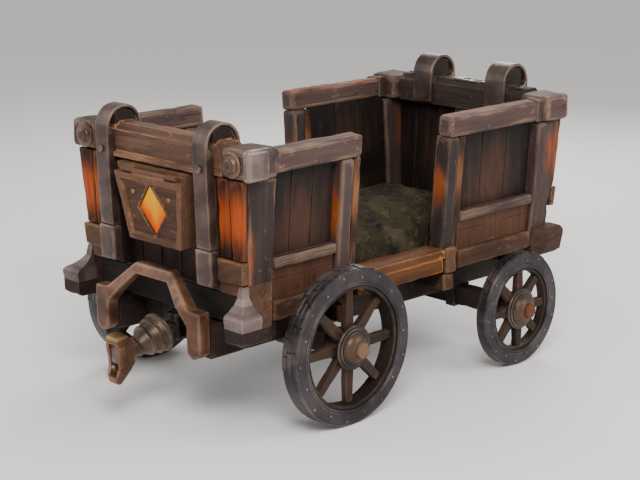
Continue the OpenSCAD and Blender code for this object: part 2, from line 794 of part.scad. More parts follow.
// Flared foot under each corner post
module corner_shoes() {
    shoe_back = post_back - 8;
    knee = floor_z + 58;
    color("#8b8688") placed() for (end = ends) on_end(end) for (side = sides) on_side(side) {
        top = end == 0 ? plinth_mid - 2 : floor_z + 93;
        out = end == 0 ? 86 : 46;
        outer = base_half + out;
        face = end_y(knee) - out;
        // Outline from the bottom upwards: distance out from the widest point, and height
        foot = end == 0
            ? [[-20, shoe_low], [-5, shoe_low + 14], [-3, knee - 24], [0, knee - 10], [0, knee + 4],
               [-7, knee + 14], [-26, knee + 24], [-52, knee + 44], [-68, knee + 66]]
            : [[-26, shoe_low], [-8, shoe_low + 16], [0, knee - 14], [0, knee + 8], [-10, knee + 24]];
        difference() {
            intersection() {
                across(-200, shoe_back) polygon(concat(
                    [[shoe_in, shoe_low]], [for (p = foot) [outer + p[0], p[1]]],
                    [[side_x(top) + 3, top], [shoe_in, top]]
                ));
                along(0, big) polygon(concat(
                    [[shoe_back, shoe_low]], [for (p = foot) [face - p[0], p[1]]],
                    [[end_y(top) - 3, top], [shoe_back, top]]
                ));
                translate([0, 0, shoe_low]) linear_extrude(top - shoe_low) polygon([
                    [shoe_in, -200], [outer + 1, -200], [outer + 1, shoe_back - 75], [side_x(top), shoe_back],
                    [shoe_in, shoe_back]
                ]);
            }
            intersection() {
                side_outline(0, 0, floor_z, big);
                along(0, big) polygon([
                    [end_y(floor_z, post_inset), floor_z], [big, floor_z], [big, beam_z], [end_y(beam_z, post_inset), beam_z]
                ]);
            }
        }
    }
}

// ---------------------------------------------------------------- side walls

// The four side panels, each from its corner post to its door post: [y0, y1]
panels = [
    [post_back + butt, doorway_start - door_post_all], [doorway_end + door_post_all, body_length - post_back - butt]
];

module each_panel() {
    for (side = sides, panel = panels) wall_frame(side) {
        $y0 = panel[0];
        $y1 = panel[1];
        children();
    }
}

module side_top_rails() {
    color("#756a66") placed() for (side = sides) wall_frame(side)
        for (span = [[cap_l, doorway_start], [doorway_end, body_length - cap_l]])
            block([4 - rail_t, span[0], wall_height - rail_h], [4, span[1], wall_height]);
}

module door_posts() {
    color("#5d5256") placed() for (side = sides) wall_frame(side)
        for (y = [doorway_start - door_post_all, doorway_end])
            block([-post_t, y, 0], [0, y + door_post_w, wall_height - rail_h]);
}

module side_mid_rails() {
    color("#6a5f5f") placed() each_panel()
        along(-board_t * 2, 2) polygon([
            [$y0, mid_rail_z], [$y1, mid_rail_z], [$y1, mid_rail_z + mid_rail_h - 14], [$y0, mid_rail_z + mid_rail_h - 14]
        ]);
}

// Upright inner boards, with two level boards outside them below the middle rail
module side_panels() {
    count = 3;
    lower_mid = (sill_h + mid_rail_z) / 2 + 18;
    color("#422c24") placed() each_panel() {
        pitch = ($y1 - $y0) / count;
        for (i = [0:count - 1])
            block([-board_t * 3, $y0 + i * pitch + 0.5, sill_h],
                  [-board_t * 2, $y0 + (i + 1) * pitch - 0.5, wall_height - rail_h]);
        for (span = [[sill_h, lower_mid - 1], [lower_mid + 1, mid_rail_z]])
            block([-board_t * 2, $y0, span[0]], [-board_t, $y1, span[1]]);
    }
}

module side_sills() {
    color("#54402f") placed() each_panel()
        block([-post_t, $y0, 0], [6, $y1, sill_h]);
}

module thresholds() {
    inner = base_half - post_t;
    color("#b06a2a") placed() for (side = sides) on_side(side) {
        block([inner, doorway_start, floor_z + 10], [base_half + 20, doorway_end, floor_z + 70]);
        block([inner, doorway_start, floor_z + 70], [base_half + 31, doorway_end, floor_z + 110]);
        block([inner, doorway_start, floor_z], [outrigger_x, doorway_end, floor_z + 10]);
    }
}

// Iron shoes on the feet of the door posts, and the blocks below them on the longerons
module post_shoes() {
    color("#4b4442") placed() for (side = sides) on_side(side)
        for (y = [doorway_start - door_post_all, doorway_end]) {
            y0 = y + 2;
            y1 = y + door_post_w - 2;
            intersection() {
                block([0, y0, floor_z + 2], [base_half + 34, y1, floor_z + 113]);
                side_outline_outer(floor_z, big);
            }
            block([outrigger_x, y0, under_z], [base_half + 22, y1, floor_z]);
        }
}

// ---------------------------------------------------------------- lamp

function lamp_half(v) = (lamp_bottom_w + (lamp_top_w - lamp_bottom_w) * v / lamp_h) / 2;

module lamp_trapezoid(v0, v1, rim = 0) {
    polygon([[-lamp_half(v0) + rim, v0], [lamp_half(v0) - rim, v0], [lamp_half(v1) - rim, v1], [-lamp_half(v1) + rim, v1]]);
}

module diamond(w, h) {
    translate([0, lamp_h / 2]) polygon([[-w / 2, 0], [0, -h / 2], [w / 2, 0], [0, h / 2]]);
}

// Knuckles of the lamp's top hinge between a list of [x0, x1]
module knuckles(spans) {
    for (span = spans) translate([0, knuckle_r + 2, hinge_v]) rod(knuckle_r, span[0], span[1]);
}

hinge_half = lamp_half(lamp_h) - 40;
hinge_pin_r = 4;

// Open-fronted box let into the front wall
module lamp_case() {
    top = lamp_h + knuckle_r * 2 + 8;
    color("#4b3026") placed() difference() {
        union() {
            intersection() {
                lamp_frame() across(lamp_t + slack, 400) lamp_trapezoid(0, top);
                along(-big, big) polygon([
                    [-200, lamp_z - 20], [end_y(lamp_z - 20, wall_inset), lamp_z - 20],
                    [end_y(beam_z - 5, wall_inset), beam_z - 5], [-200, beam_z - 5]
                ]);
            }
            lamp_frame() for (side = sides) on_side(side) {
                knuckles([[hinge_half - 60, hinge_half]]);
                block([hinge_half - 60, knuckle_r + 2, hinge_v], [hinge_half, lamp_t + 2, hinge_v + knuckle_r]);
            }
        }
        lamp_frame() across(lamp_t - 5, 400) intersection() {
            lamp_trapezoid(case_wall, lamp_h - 6, case_wall);
            square([big, big], center = true);
        }
        lamp_frame() translate([0, knuckle_r + 2, hinge_v]) rod(hinge_pin_r + running, -big / 10, big / 10);
        lamp_frame() translate([0, knuckle_r + 2, hinge_v]) rod(knuckle_r + 2, -hinge_half + 60 - slack, hinge_half - 60 + slack);
    }
    lamp_back();
}

// Back plate of the lamp box, against the wall boards
module lamp_back() {
    color("#4b3026") placed() intersection() {
        lamp_frame() across(0, 400) lamp_trapezoid(case_wall + 0.5, lamp_h - 6.5, case_wall + 0.5);
        end_slab(wall_inset - 8, wall_inset, lamp_z - 50, beam_z);
    }
}

// Framed door with a diamond opening, its hinge knuckles, its pin and the diamond's bezel
module lamp_door() {
    rim = lamp_rim;
    plate_front = 10;
    plate_back = 19;
    color("#6b4630") placed() lamp_frame() {
        difference() {
            union() {
                difference() {
                    across(0, lamp_t) lamp_trapezoid(0, lamp_h);
                    across(-1, lamp_t + 1) lamp_trapezoid(rim, lamp_h - rim, rim);
                }
                difference() {
                    across(plate_front, plate_back) lamp_trapezoid(rim / 2, lamp_h - rim / 2, rim / 2);
                    across(plate_front - 1, plate_back + 1) diamond(diamond_w, diamond_h);
                }
                difference() {
                    across(plate_front - 5, plate_front + 1) diamond(diamond_w + 22, diamond_h + 30);
                    across(plate_front - 6, plate_front + 2) diamond(diamond_w, diamond_h);
                }
                knuckles([[-hinge_half + 60 + slack, hinge_half - 60 - slack]]);
                block([-hinge_half + 60 + slack, knuckle_r - 6, lamp_h - 5], [hinge_half - 60 - slack, knuckle_r + 8, hinge_v]);
            }
            translate([0, knuckle_r + 2, hinge_v]) rod(hinge_pin_r, -big / 10, big / 10);
        }
        translate([0, knuckle_r + 2, hinge_v]) rod(hinge_pin_r, -hinge_half - 3, hinge_half + 3);
    }
}

module lamp_glass() {
    color("#ffb020") placed() lamp_frame() across(19.2, 23.2) diamond(diamond_w + 6, diamond_h + 8);
}

// Small oil burner on the floor of the lamp box
module lamp_burner() {
    y = 47;
    color("#a5742e") placed() lamp_frame() translate([0, y, case_wall]) rotate([-lamp_lean, 0, 0]) translate([0, 0, 2.5])
        rotate_extrude($fn = 48) polygon([
            [0, 0], [18, 0], [18, 30], [10, 38], [10, 48], [14, 52], [14, 60], [5, 64], [5, 84], [0, 84]
        ]);
}

// ---------------------------------------------------------------- load and fixings

// Heap under canvas: a low base with a raised middle
module canvas_load() {
    base = floor_z + floor_board_t + slack;
    half = base_half - post_t - 8;
    y0 = post_back + 30;
    y1 = body_length - post_back - 30;
    rise = 190;
    color("#5a5a45") placed() hull() {
        block([-half, y0, base], [half, y1, base + 60]);
        block([-half + 60, y0 + 70, base], [half - 60, y1 - 70, base + 120]);
        block([-half + 220, y0 + 420, base], [half - 220, y1 - 260, base + rise]);
    }
}

// Big round-headed bolt on a washer, pointing out of an end
module end_bolt() {
    rotate([90, 0, 0]) rotate_extrude($fn = 48) polygon([
        [0, 0], [50, 0], [50, 5], [44, 9], [32, 9], [30, 16], [20, 22], [0, 24]
    ]);
}

module bolts() {
    color("#7b5a4a") placed() for (end = ends) on_end(end) for (side = sides) on_side(side) {
        translate([half_w - 90, -0.02, cap_top - 60]) end_bolt();
        translate([hoop_x[end], arch_front, beam_z + 24]) rotate([90, 0, 0]) cylinder(r = 15, h = 9, $fn = 24);
    }
}

longerons();
cross_members();
floor_boards();
headstocks();
end_sills();
front_axle();
rear_axle();
front_axle_beam();
rear_axle_beam();
rear_bolster();
axle_straps();
front_left_tyre();
front_left_felloe();
front_left_spokes();
front_left_hub();
front_right_tyre();
front_right_felloe();
front_right_spokes();
front_right_hub();
rear_left_tyre();
rear_left_felloe();
rear_left_spokes();
rear_left_hub();
rear_right_tyre();
rear_right_felloe();
rear_right_spokes();
rear_right_hub();
draw_socket();
king_pin();
draw_knuckle();
pitch_pin();
draw_sleeve();
coupler_head();
coupler_lip();
coupler_tongue();
bow_bracket();
end_boards();
amber_boards();
end_beams();
plinths();
strap_battens();
strap_sockets();
hoops();
corner_posts();
corner_caps();
corner_shoes();
side_top_rails();
door_posts();
side_mid_rails();
side_panels();
side_sills();
thresholds();
post_shoes();
rear_centre_post();
lamp_case();
lamp_door();
lamp_glass();
lamp_burner();
canvas_load();
bolts();
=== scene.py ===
# %% [markdown]
# # A timber mine cart
# This lesson dresses a measured model of a four-wheeled mine cart. The model gives every place and
# size. The script gives it worn edges, grain, rust, a canvas and a glowing lamp.
# First the model is loaded, and its parts are kept, so that their boxes can be read.

# %% Load the measured model
import json
import math
import bmesh
import bpy
import numpy as np
from mathutils import Matrix, Vector, noise
from mathutils.bvhtree import BVHTree


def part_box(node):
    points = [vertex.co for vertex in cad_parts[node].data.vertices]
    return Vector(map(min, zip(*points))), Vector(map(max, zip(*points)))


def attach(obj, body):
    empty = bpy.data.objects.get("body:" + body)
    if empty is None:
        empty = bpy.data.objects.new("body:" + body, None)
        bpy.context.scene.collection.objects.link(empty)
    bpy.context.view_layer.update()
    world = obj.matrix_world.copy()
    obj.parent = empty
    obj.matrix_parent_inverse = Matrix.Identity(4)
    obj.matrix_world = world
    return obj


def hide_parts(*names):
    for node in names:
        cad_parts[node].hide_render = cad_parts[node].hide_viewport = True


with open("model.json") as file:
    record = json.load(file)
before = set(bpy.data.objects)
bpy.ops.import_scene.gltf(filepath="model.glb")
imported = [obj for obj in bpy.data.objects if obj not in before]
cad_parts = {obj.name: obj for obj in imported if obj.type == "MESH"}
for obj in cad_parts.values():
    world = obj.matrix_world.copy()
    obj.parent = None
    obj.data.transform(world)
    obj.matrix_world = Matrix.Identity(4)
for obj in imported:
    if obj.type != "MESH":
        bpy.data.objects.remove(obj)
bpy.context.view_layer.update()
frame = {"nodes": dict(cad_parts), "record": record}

nodes = frame["nodes"]
bodies = frame["record"]["behaviour"]["bodies"]
body_of = {node: body for body, members in bodies.items() for node in members}

# %% [markdown]
# ## Camera
# A long lens, about 90 mm, keeps the cart's edges almost parallel, as in a catalogue view. It looks
# down a little from the front right corner.

# %% Camera
camera_place = Vector((4.527, -4.518, 2.160))
camera_aim = Vector((0.0, 0.032, 0.528))
camera = bpy.data.objects.new("camera", bpy.data.cameras.new("camera"))
camera.data.lens = 89.9
camera.data.sensor_width = 36.0
camera.location = camera_place
camera.rotation_euler = (camera_aim - camera_place).to_track_quat("-Z", "Y").to_euler()
bpy.context.scene.collection.objects.link(camera)
bpy.context.scene.camera = camera
print("camera", round((camera_aim - camera_place).length, 2), "m from the cart")

# %% [markdown]
# ## Floor and light
# A pale floor and a pale world give soft light from all round. A large key light from the front
# right shapes the wood, a weaker fill opens the shadows, and a light from behind draws the edges.

# %% Floor and lights
def surface(name, color, roughness):
    """A plain material with one colour."""
    material = bpy.data.materials.new(name)
    material.use_nodes = True
    shader = material.node_tree.nodes["Principled BSDF"]
    shader.inputs["Base Color"].default_value = (*color, 1.0)
    shader.inputs["Roughness"].default_value = roughness
    return material

floor_mesh = bmesh.new()
bmesh.ops.create_grid(floor_mesh, x_segments=1, y_segments=1, size=30.0)
floor_data = bpy.data.meshes.new("floor")
floor_mesh.to_mesh(floor_data)
floor = bpy.data.objects.new("floor", floor_data)
bpy.context.scene.collection.objects.link(floor)
floor.data.materials.append(surface("pale_floor", (0.80, 0.79, 0.78), 0.9))

def area_light(name, place, aim, size, power, color=(1.0, 1.0, 1.0)):
    """A soft square light at a place, turned towards a point."""
    light = bpy.data.objects.new(name, bpy.data.lights.new(name, "AREA"))
    light.data.size = size
    light.data.energy = power
    light.data.color = color
    light.location = place
    light.rotation_euler = (Vector(aim) - Vector(place)).to_track_quat("-Z", "Y").to_euler()
    bpy.context.scene.collection.objects.link(light)

area_light("key", (3.4, -3.2, 4.4), (0, 0, 0.5), 2.2, 330, (1.0, 0.97, 0.93))
area_light("fill", (-4.0, -3.0, 2.6), (0, 0, 0.5), 3.5, 90, (0.92, 0.95, 1.0))
area_light("side", (4.6, 2.2, 2.6), (0, 0.2, 0.5), 2.8, 150, (1.0, 0.98, 0.96))
area_light("back", (-2.4, 4.4, 3.6), (0, 0, 0.7), 2.4, 170)
world = bpy.data.worlds.new("studio")
world.use_nodes = True
world.node_tree.nodes["Background"].inputs["Color"].default_value = (1.0, 0.985, 0.97, 1.0)
world.node_tree.nodes["Background"].inputs["Strength"].default_value = 0.70
bpy.context.scene.world = world

# %% [markdown]
# ## Shader helpers
# Old wood and old iron are each one node group, so that every timber and every strap shares one
# recipe and only its colours change. These short helpers add a node and join it up.

# %% Shader helpers
def feed(tree, socket, value):
    """Joins a socket to another, or sets its number."""
    if isinstance(value, bpy.types.NodeSocket):
        tree.links.new(value, socket)
    else:
        socket.default_value = value

def maths(tree, operation, first, second=0.0):
    """A Math node on one or two values."""
    node = tree.nodes.new("ShaderNodeMath")
    node.operation = operation
    feed(tree, node.inputs[0], first)
    feed(tree, node.inputs[1], second)
    return node.outputs[0]

def plus(tree, first, second):
    return maths(tree, "ADD", first, second)

def minus(tree, first, second):
    return maths(tree, "SUBTRACT", first, second)

def times(tree, first, second):
    return maths(tree, "MULTIPLY", first, second)

def swing(tree, value, strength):
    """Turns a mask from 0 to 1 into a push to either side of zero."""
    return times(tree, minus(tree, value, 0.5), strength)

def spread(tree, value, low, high, out_low=0.0, out_high=1.0):
    """Maps low..high smoothly to out_low..out_high."""
    node = tree.nodes.new("ShaderNodeMapRange")
    node.interpolation_type = "SMOOTHSTEP"
    for socket, number in zip(node.inputs[:5], (value, low, high, out_low, out_high)):
        feed(tree, socket, number)
    return node.outputs[0]

def cloud(tree, vector, scale, stretch=(1.0, 1.0, 1.0), detail=4.0, roughness=0.55):
    """Noise over a place, drawn out along its axes."""
    mapping = tree.nodes.new("ShaderNodeMapping")
    mapping.inputs["Scale"].default_value = stretch
    feed(tree, mapping.inputs["Vector"], vector)
    node = tree.nodes.new("ShaderNodeTexNoise")
    feed(tree, node.inputs["Vector"], mapping.outputs[0])
    node.inputs["Scale"].default_value = scale
    node.inputs["Detail"].default_value = detail
    node.inputs["Roughness"].default_value = roughness
    return node.outputs["Fac"]

def tint(tree, factor, first, second):
    """Mixes two colours, or a socket and a colour, by a factor."""
    node = tree.nodes.new("ShaderNodeMix")
    node.data_type = "RGBA"
    feed(tree, node.inputs[0], factor)
    feed(tree, node.inputs[6], first)
    feed(tree, node.inputs[7], second)
    return node.outputs[2]

def new_group(name, inputs, outputs):
    """A shader group with its named sockets, and its two end nodes."""
    tree = bpy.data.node_groups.new(name, "ShaderNodeTree")
    for label, kind in inputs:
        tree.interface.new_socket(label, in_out="INPUT", socket_type="NodeSocket" + kind)
    for label, kind in outputs:
        tree.interface.new_socket(label, in_out="OUTPUT", socket_type="NodeSocket" + kind)
    return tree, tree.nodes.new("NodeGroupInput").outputs, tree.nodes.new("NodeGroupOutput").inputs

# %% [markdown]
# ## Old wood
# Wood is dark where it is damp and pale where hands and loads have rubbed it. The group takes a
# place that runs along each board, so streaks and cracks follow the grain of every board by
# itself, a tone that makes boards differ, and a wear mask that is 1 on the edges.

# %% Old wood group
wood_group, given, result = new_group(
    "old_wood",
    [("Grain", "Vector"), ("Tone", "Float"), ("Wear", "Float"), ("Dark", "Color"), ("Light", "Color"),
     ("Edge", "Color"), ("Painted_light", "Float")],
    [("Color", "Color"), ("Roughness", "Float"), ("Height", "Float")])
streak = cloud(wood_group, given["Grain"], 9.0, (0.35, 4.5, 4.5), 6.0, 0.62)
fibre = cloud(wood_group, given["Grain"], 40.0, (0.22, 5.0, 5.0), 3.0)
patch = cloud(wood_group, given["Grain"], 5.5, (0.8, 1.6, 1.6), 3.0)
crack = minus(wood_group, cloud(wood_group, given["Grain"], 6.0, (0.3, 3.2, 3.2), 2.0), 0.5)
crack = maths(wood_group, "ABSOLUTE", crack)
crack = spread(wood_group, crack, 0.0, 0.022, 1.0, 0.0)
pale = plus(wood_group, times(wood_group, streak, 0.75), times(wood_group, patch, 0.55))
pale = plus(wood_group, pale, times(wood_group, given["Tone"], 0.55))
pale = spread(wood_group, pale, 0.42, 1.30)
color = tint(wood_group, pale, given["Dark"], given["Light"])
# Painted light: an orange glow on the posts and gold highlights on the rail and beam tops, mixed in where
# the light mask is high and broken up by the patch noise.
painted_light_orange = tint(wood_group, streak, (0.10, 0.016, 0.002, 1.0), (0.36, 0.080, 0.005, 1.0))
painted_light_mask = plus(wood_group, given["Painted_light"], swing(wood_group, patch, 1.6))
painted_light_mask = spread(wood_group, painted_light_mask, 0.25, 0.95)
painted_light_mask = times(wood_group, painted_light_mask, spread(wood_group, given["Painted_light"], 0.0, 0.25))
color = tint(wood_group, painted_light_mask, color, painted_light_orange)
split = times(wood_group, crack, spread(wood_group, patch, 0.42, 0.6))
color = tint(wood_group, times(wood_group, split, 0.55), color, (0.012, 0.009, 0.008, 1.0))
rub = plus(wood_group, given["Wear"], swing(wood_group, patch, 1.2))
rub = plus(wood_group, rub, swing(wood_group, fibre, 0.9))
rub = spread(wood_group, rub, 0.80, 1.32)
color = tint(wood_group, times(wood_group, rub, 0.75), color, given["Edge"])
nick = spread(wood_group, cloud(wood_group, given["Grain"], 34.0, (0.7, 1.0, 1.0), 2.0), 0.655, 0.70)
color = tint(wood_group, times(wood_group, nick, 0.30), color, given["Edge"])
feed(wood_group, result["Color"], color)
rough = plus(wood_group, times(wood_group, fibre, 0.3), 0.55)
feed(wood_group, result["Roughness"], minus(wood_group, rough, times(wood_group, rub, 0.12)))
height = plus(wood_group, times(wood_group, streak, 0.6), times(wood_group, fibre, 0.35))
feed(wood_group, result["Height"], minus(wood_group, height, times(wood_group, split, 0.6)))
print("old wood", len(wood_group.nodes), "nodes")

# %% [markdown]
# ## Old iron
# Forged iron is dark, cloudy and slightly glossy. Rust sits in blotches and in pits, and the
# corners are rubbed bright. Rust is not a metal to light, so the metallic value falls there.

# %% Old iron group
iron_group, given, result = new_group(
    "old_iron",
    [("Place", "Vector"), ("Wear", "Float"), ("Base", "Color"), ("Light", "Color"), ("Rust", "Color"),
     ("Rusting", "Float")],
    [("Color", "Color"), ("Roughness", "Float"), ("Metallic", "Float"), ("Height", "Float")])
haze = cloud(iron_group, given["Place"], 7.0, detail=6.0, roughness=0.6)
blotch = cloud(iron_group, given["Place"], 26.0, detail=5.0, roughness=0.62)
pit = cloud(iron_group, given["Place"], 110.0, detail=3.0)
color = tint(iron_group, spread(iron_group, haze, 0.32, 0.72), given["Base"], given["Light"])
rust = plus(iron_group, times(iron_group, haze, 0.55), times(iron_group, blotch, 0.7))
rust = plus(iron_group, rust, times(iron_group, given["Rusting"], 0.5))
rust = spread(iron_group, rust, 0.78, 1.02)
color = tint(iron_group, rust, color, given["Rust"])
rub = plus(iron_group, given["Wear"], swing(iron_group, haze, 1.4))
rub = spread(iron_group, plus(iron_group, rub, times(iron_group, pit, 0.25)), 0.75, 1.45)
pale_edge = tint(iron_group, 0.20, given["Light"], (0.55, 0.42, 0.31, 1.0))
color = tint(iron_group, times(iron_group, rub, 0.8), color, pale_edge)
feed(iron_group, result["Color"], color)
rough = plus(iron_group, times(iron_group, rust, 0.28), times(iron_group, pit, 0.22))
feed(iron_group, result["Roughness"], plus(iron_group, rough, 0.30))
feed(iron_group, result["Metallic"], spread(iron_group, rust, 0.0, 1.0, 0.50, 0.10))
height = plus(iron_group, times(iron_group, pit, 0.4), times(iron_group, blotch, 0.8))
feed(iron_group, result["Height"], height)
print("groups", [tree.name for tree in bpy.data.node_groups])

# %% [markdown]
# ## Finishes
# Each finish is one Principled shader fed by a group. The masks come from attributes that the
#  meshes carry: the wear of edges, the tone of each board (with painted shade or glow on some), the
#  painted light and the place along its grain.

# %% Finish helpers
def mask(tree, name, output="Fac"):
    """An attribute of the mesh."""
    node = tree.nodes.new("ShaderNodeAttribute")
    node.attribute_name = name
    return node.outputs[output]

def dressed(name, group, values, depth):
    """A material whose shader is fed by a group, with a bump of some depth in metres."""
    material = bpy.data.materials.new(name)
    material.use_nodes = True
    tree = material.node_tree
    shader = tree.nodes["Principled BSDF"]
    node = tree.nodes.new("ShaderNodeGroup")
    node.node_tree = group
    for label, value in values(tree).items():
        feed(tree, node.inputs[label], value)
    bump = tree.nodes.new("ShaderNodeBump")
    bump.inputs["Strength"].default_value = 0.7
    bump.inputs["Distance"].default_value = depth
    feed(tree, bump.inputs["Height"], node.outputs["Height"])
    feed(tree, shader.inputs["Normal"], bump.outputs[0])
    feed(tree, shader.inputs["Base Color"], node.outputs["Color"])
    feed(tree, shader.inputs["Roughness"], node.outputs["Roughness"])
    if "Metallic" in node.outputs:
        feed(tree, shader.inputs["Metallic"], node.outputs["Metallic"])
    shader.inputs["Specular IOR Level"].default_value = 0.42 if "Metallic" in node.outputs else 0.22
    return material

def wood(name, dark, light, edge, depth=0.004):
    """A timber finish from its dark, its pale and its rubbed edge colour."""
    return dressed(name, wood_group, lambda tree: {
        "Grain": mask(tree, "grain", "Vector"),
        "Tone": mask(tree, "tone"),
        "Wear": mask(tree, "wear"),
        "Dark": (*dark, 1.0),
        "Light": (*light, 1.0),
        "Edge": (*edge, 1.0),
        "Painted_light": mask(tree, "painted_light"),
    }, depth)

def iron(name, base, light, rust, rusting, depth=0.002):
    """An iron finish from its dark, its pale and its rust colour, and how far it has rusted."""
    return dressed(name, iron_group, lambda tree: {
        "Place": tree.nodes.new("ShaderNodeTexCoord").outputs["Object"],
        "Wear": mask(tree, "wear"),
        "Base": (*base, 1.0),
        "Light": (*light, 1.0),
        "Rust": (*rust, 1.0),
        "Rusting": rusting,
    }, depth)

# %% Finishes
finish = {
    "dark": wood("dark_timber", (0.005, 0.003, 0.003), (0.026, 0.014, 0.010), (0.085, 0.050, 0.032)),
    "panel": wood("panel_board", (0.005, 0.003, 0.003), (0.058, 0.024, 0.013), (0.042, 0.023, 0.016)),
    "red": wood("lower_board", (0.012, 0.005, 0.003), (0.090, 0.034, 0.018), (0.12, 0.058, 0.032)),
    "grey": wood("grey_timber", (0.013, 0.008, 0.008), (0.058, 0.036, 0.032), (0.17, 0.108, 0.072)),
    "cap": wood("corner_block", (0.020, 0.011, 0.010), (0.084, 0.050, 0.042), (0.22, 0.140, 0.096)),
    "copper": wood("beam_timber", (0.044, 0.021, 0.014), (0.165, 0.084, 0.056), (0.36, 0.185, 0.085)),
    "rear": wood("rear_beam_timber", (0.011, 0.007, 0.007), (0.046, 0.028, 0.024), (0.14, 0.088, 0.055)),
    "amber": wood("amber_board", (0.012, 0.004, 0.002), (0.33, 0.052, 0.003), (0.17, 0.050, 0.012)),
    "strip": wood("amber_strip", (0.020, 0.008, 0.004), (0.150, 0.050, 0.018), (0.24, 0.110, 0.048)),
    "sill": wood("threshold_timber", (0.016, 0.006, 0.003), (0.125, 0.040, 0.010), (0.42, 0.19, 0.045)),
    "lump": wood("foot_timber", (0.018, 0.008, 0.005), (0.085, 0.039, 0.021), (0.22, 0.118, 0.050)),
    "olive": wood("olive_post", (0.010, 0.008, 0.005), (0.042, 0.030, 0.018), (0.14, 0.090, 0.042)),
    "lamp": wood("lamp_frame_wood", (0.018, 0.008, 0.006), (0.118, 0.055, 0.030), (0.27, 0.145, 0.074)),
    "felloe": wood("felloe_wood", (0.007, 0.004, 0.003), (0.026, 0.014, 0.010), (0.065, 0.040, 0.027)),
    "spoke": wood("spoke_wood", (0.008, 0.004, 0.003), (0.034, 0.017, 0.010), (0.085, 0.050, 0.030)),
    "hub_end": wood("hub_end_wood", (0.05, 0.026, 0.014), (0.165, 0.095, 0.050), (0.32, 0.20, 0.12)),
    "iron": iron("dark_iron", (0.011, 0.008, 0.008), (0.036, 0.025, 0.021), (0.050, 0.019, 0.009), 0.10),
    "strap": iron("strap_iron", (0.036, 0.022, 0.018), (0.112, 0.070, 0.056), (0.085, 0.034, 0.016), 0.12),
    "boss": iron("boss_iron", (0.036, 0.016, 0.010), (0.125, 0.058, 0.036), (0.145, 0.046, 0.015), 0.20),
    "tyre": iron("tyre_iron", (0.015, 0.012, 0.015), (0.050, 0.040, 0.045), (0.042, 0.024, 0.018), 0.00),
    "steel": iron("shoe_steel", (0.055, 0.036, 0.034), (0.185, 0.136, 0.126), (0.12, 0.060, 0.034), 0.10),
    "rusty": iron("bow_iron", (0.048, 0.021, 0.012), (0.180, 0.084, 0.044), (0.125, 0.042, 0.014), 0.22),
    "hub": iron("hub_copper", (0.026, 0.014, 0.010), (0.088, 0.048, 0.029), (0.080, 0.031, 0.013), 0.08),
    "drawbar": iron("drawbar_iron", (0.030, 0.019, 0.013), (0.105, 0.069, 0.045),
                    (0.075, 0.033, 0.015), 0.14),
    "brass": iron("worn_brass", (0.085, 0.040, 0.010), (0.26, 0.135, 0.030), (0.08, 0.034, 0.012), 0.00),
    "rivet": iron("rivet_iron", (0.060, 0.044, 0.038), (0.160, 0.118, 0.098), (0.08, 0.040, 0.022), 0.00),
}
print("finishes", len(finish))

# %% [markdown]
# ## Finished pieces
# Every new piece is made at the origin from a bmesh, takes its finish and rides on a body of the
#  cart.

def settle(name, bm, material, body):
    """Makes a finished piece of a bmesh at the origin, and lets it ride on a body."""
    mesh = bpy.data.meshes.new(name)
    bm.to_mesh(mesh)
    bm.free()
    piece = bpy.data.objects.new(name, mesh)
    bpy.context.scene.collection.objects.link(piece)
    mesh.materials.append(finish[material] if isinstance(material, str) else material)
    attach(piece, body)
    return piece

def second(piece, material, where):
    """Gives the faces whose centre passes a test another finish."""
    piece.data.materials.append(finish[material])
    for face in piece.data.polygons:
        if where(face.center):
            face.material_index = len(piece.data.materials) - 1

# %% [markdown]
# ## Weathering a part
# Sharp boxes look new. A copy of each part is cleaned, its edges are bevelled and marked as worn,
# the faces are cut into a net, and the net is pushed in a little by smooth noise. The cuts make
# the dents real shape, and they keep the wear close to the edges. The boards of a part each get
# their own tone and their own place along the grain.

# %% Boards, net and marks
def centre_of(part):
    """Rounded middle of some vertices, to sort boards the same way in every run."""
    middle = sum((vert.co for vert in part), Vector()) / len(part)
    return tuple(round(c, 4) for c in middle)

def boards(bm):
    """The separate solids in a bmesh, as lists of vertices in the order of the mesh."""
    bm.verts.index_update()
    seen = set()
    found = []
    for start in bm.verts:
        if start.index in seen:
            continue
        seen.add(start.index)
        front = [start]
        members = []
        while front:
            vert = front.pop()
            members.append(vert)
            for edge in vert.link_edges:
                near = edge.other_vert(vert)
                if near.index not in seen:
                    seen.add(near.index)
                    front.append(near)
        found.append(sorted(members, key=lambda vert: vert.index))
    return sorted(found, key=centre_of)

def net(bm, cell):
    """Cuts the faces along planes a cell apart in all three directions."""
    places = np.array([vert.co for vert in bm.verts])
    for axis in range(3):
        low, high = places[:, axis].min(), places[:, axis].max()
        normal = Vector([float(i == axis) for i in range(3)])
        for step in range(1, int((high - low) / cell) + 1):
            cut = normal * (low + step * cell + 0.0007)
            bmesh.ops.bisect_plane(bm, geom=bm.verts[:] + bm.edges[:] + bm.faces[:],
                                   plane_co=cut, plane_no=normal)

def mark(bm, worn_faces_layer, tone=None, seed=1, painted_light=None):
    """Writes the wear, tone, painted light and grain attributes that the finishes read; on some boards the
    tone carries painted shade or a painted glow.
    """
    random = np.random.default_rng(seed)
    wear = bm.verts.layers.float.get("wear") or bm.verts.layers.float.new("wear")
    tones = bm.verts.layers.float.new("tone")
    painted_light_mask = bm.verts.layers.float.new("painted_light")
    grain = bm.verts.layers.float_vector.new("grain")
    for part in boards(bm):
        places = np.array([vert.co for vert in part])
        middle = places.mean(0)
        axes = np.linalg.svd(places - middle, full_matrices=False)[2]
        along = (places - middle) @ axes.T + random.uniform(0, 40, 3)
        own_tone = float(random.uniform(0.15, 0.85))
        for vert, place in zip(part, along):
            worn = any(face[worn_faces_layer] for face in vert.link_faces)
            vert[wear] = 1.0 if worn else 0.0
            vert[tones] = tone(vert.co) if tone else own_tone
            vert[painted_light_mask] = painted_light(vert.co, vert.normal) if painted_light else 0.0
            vert[grain] = place

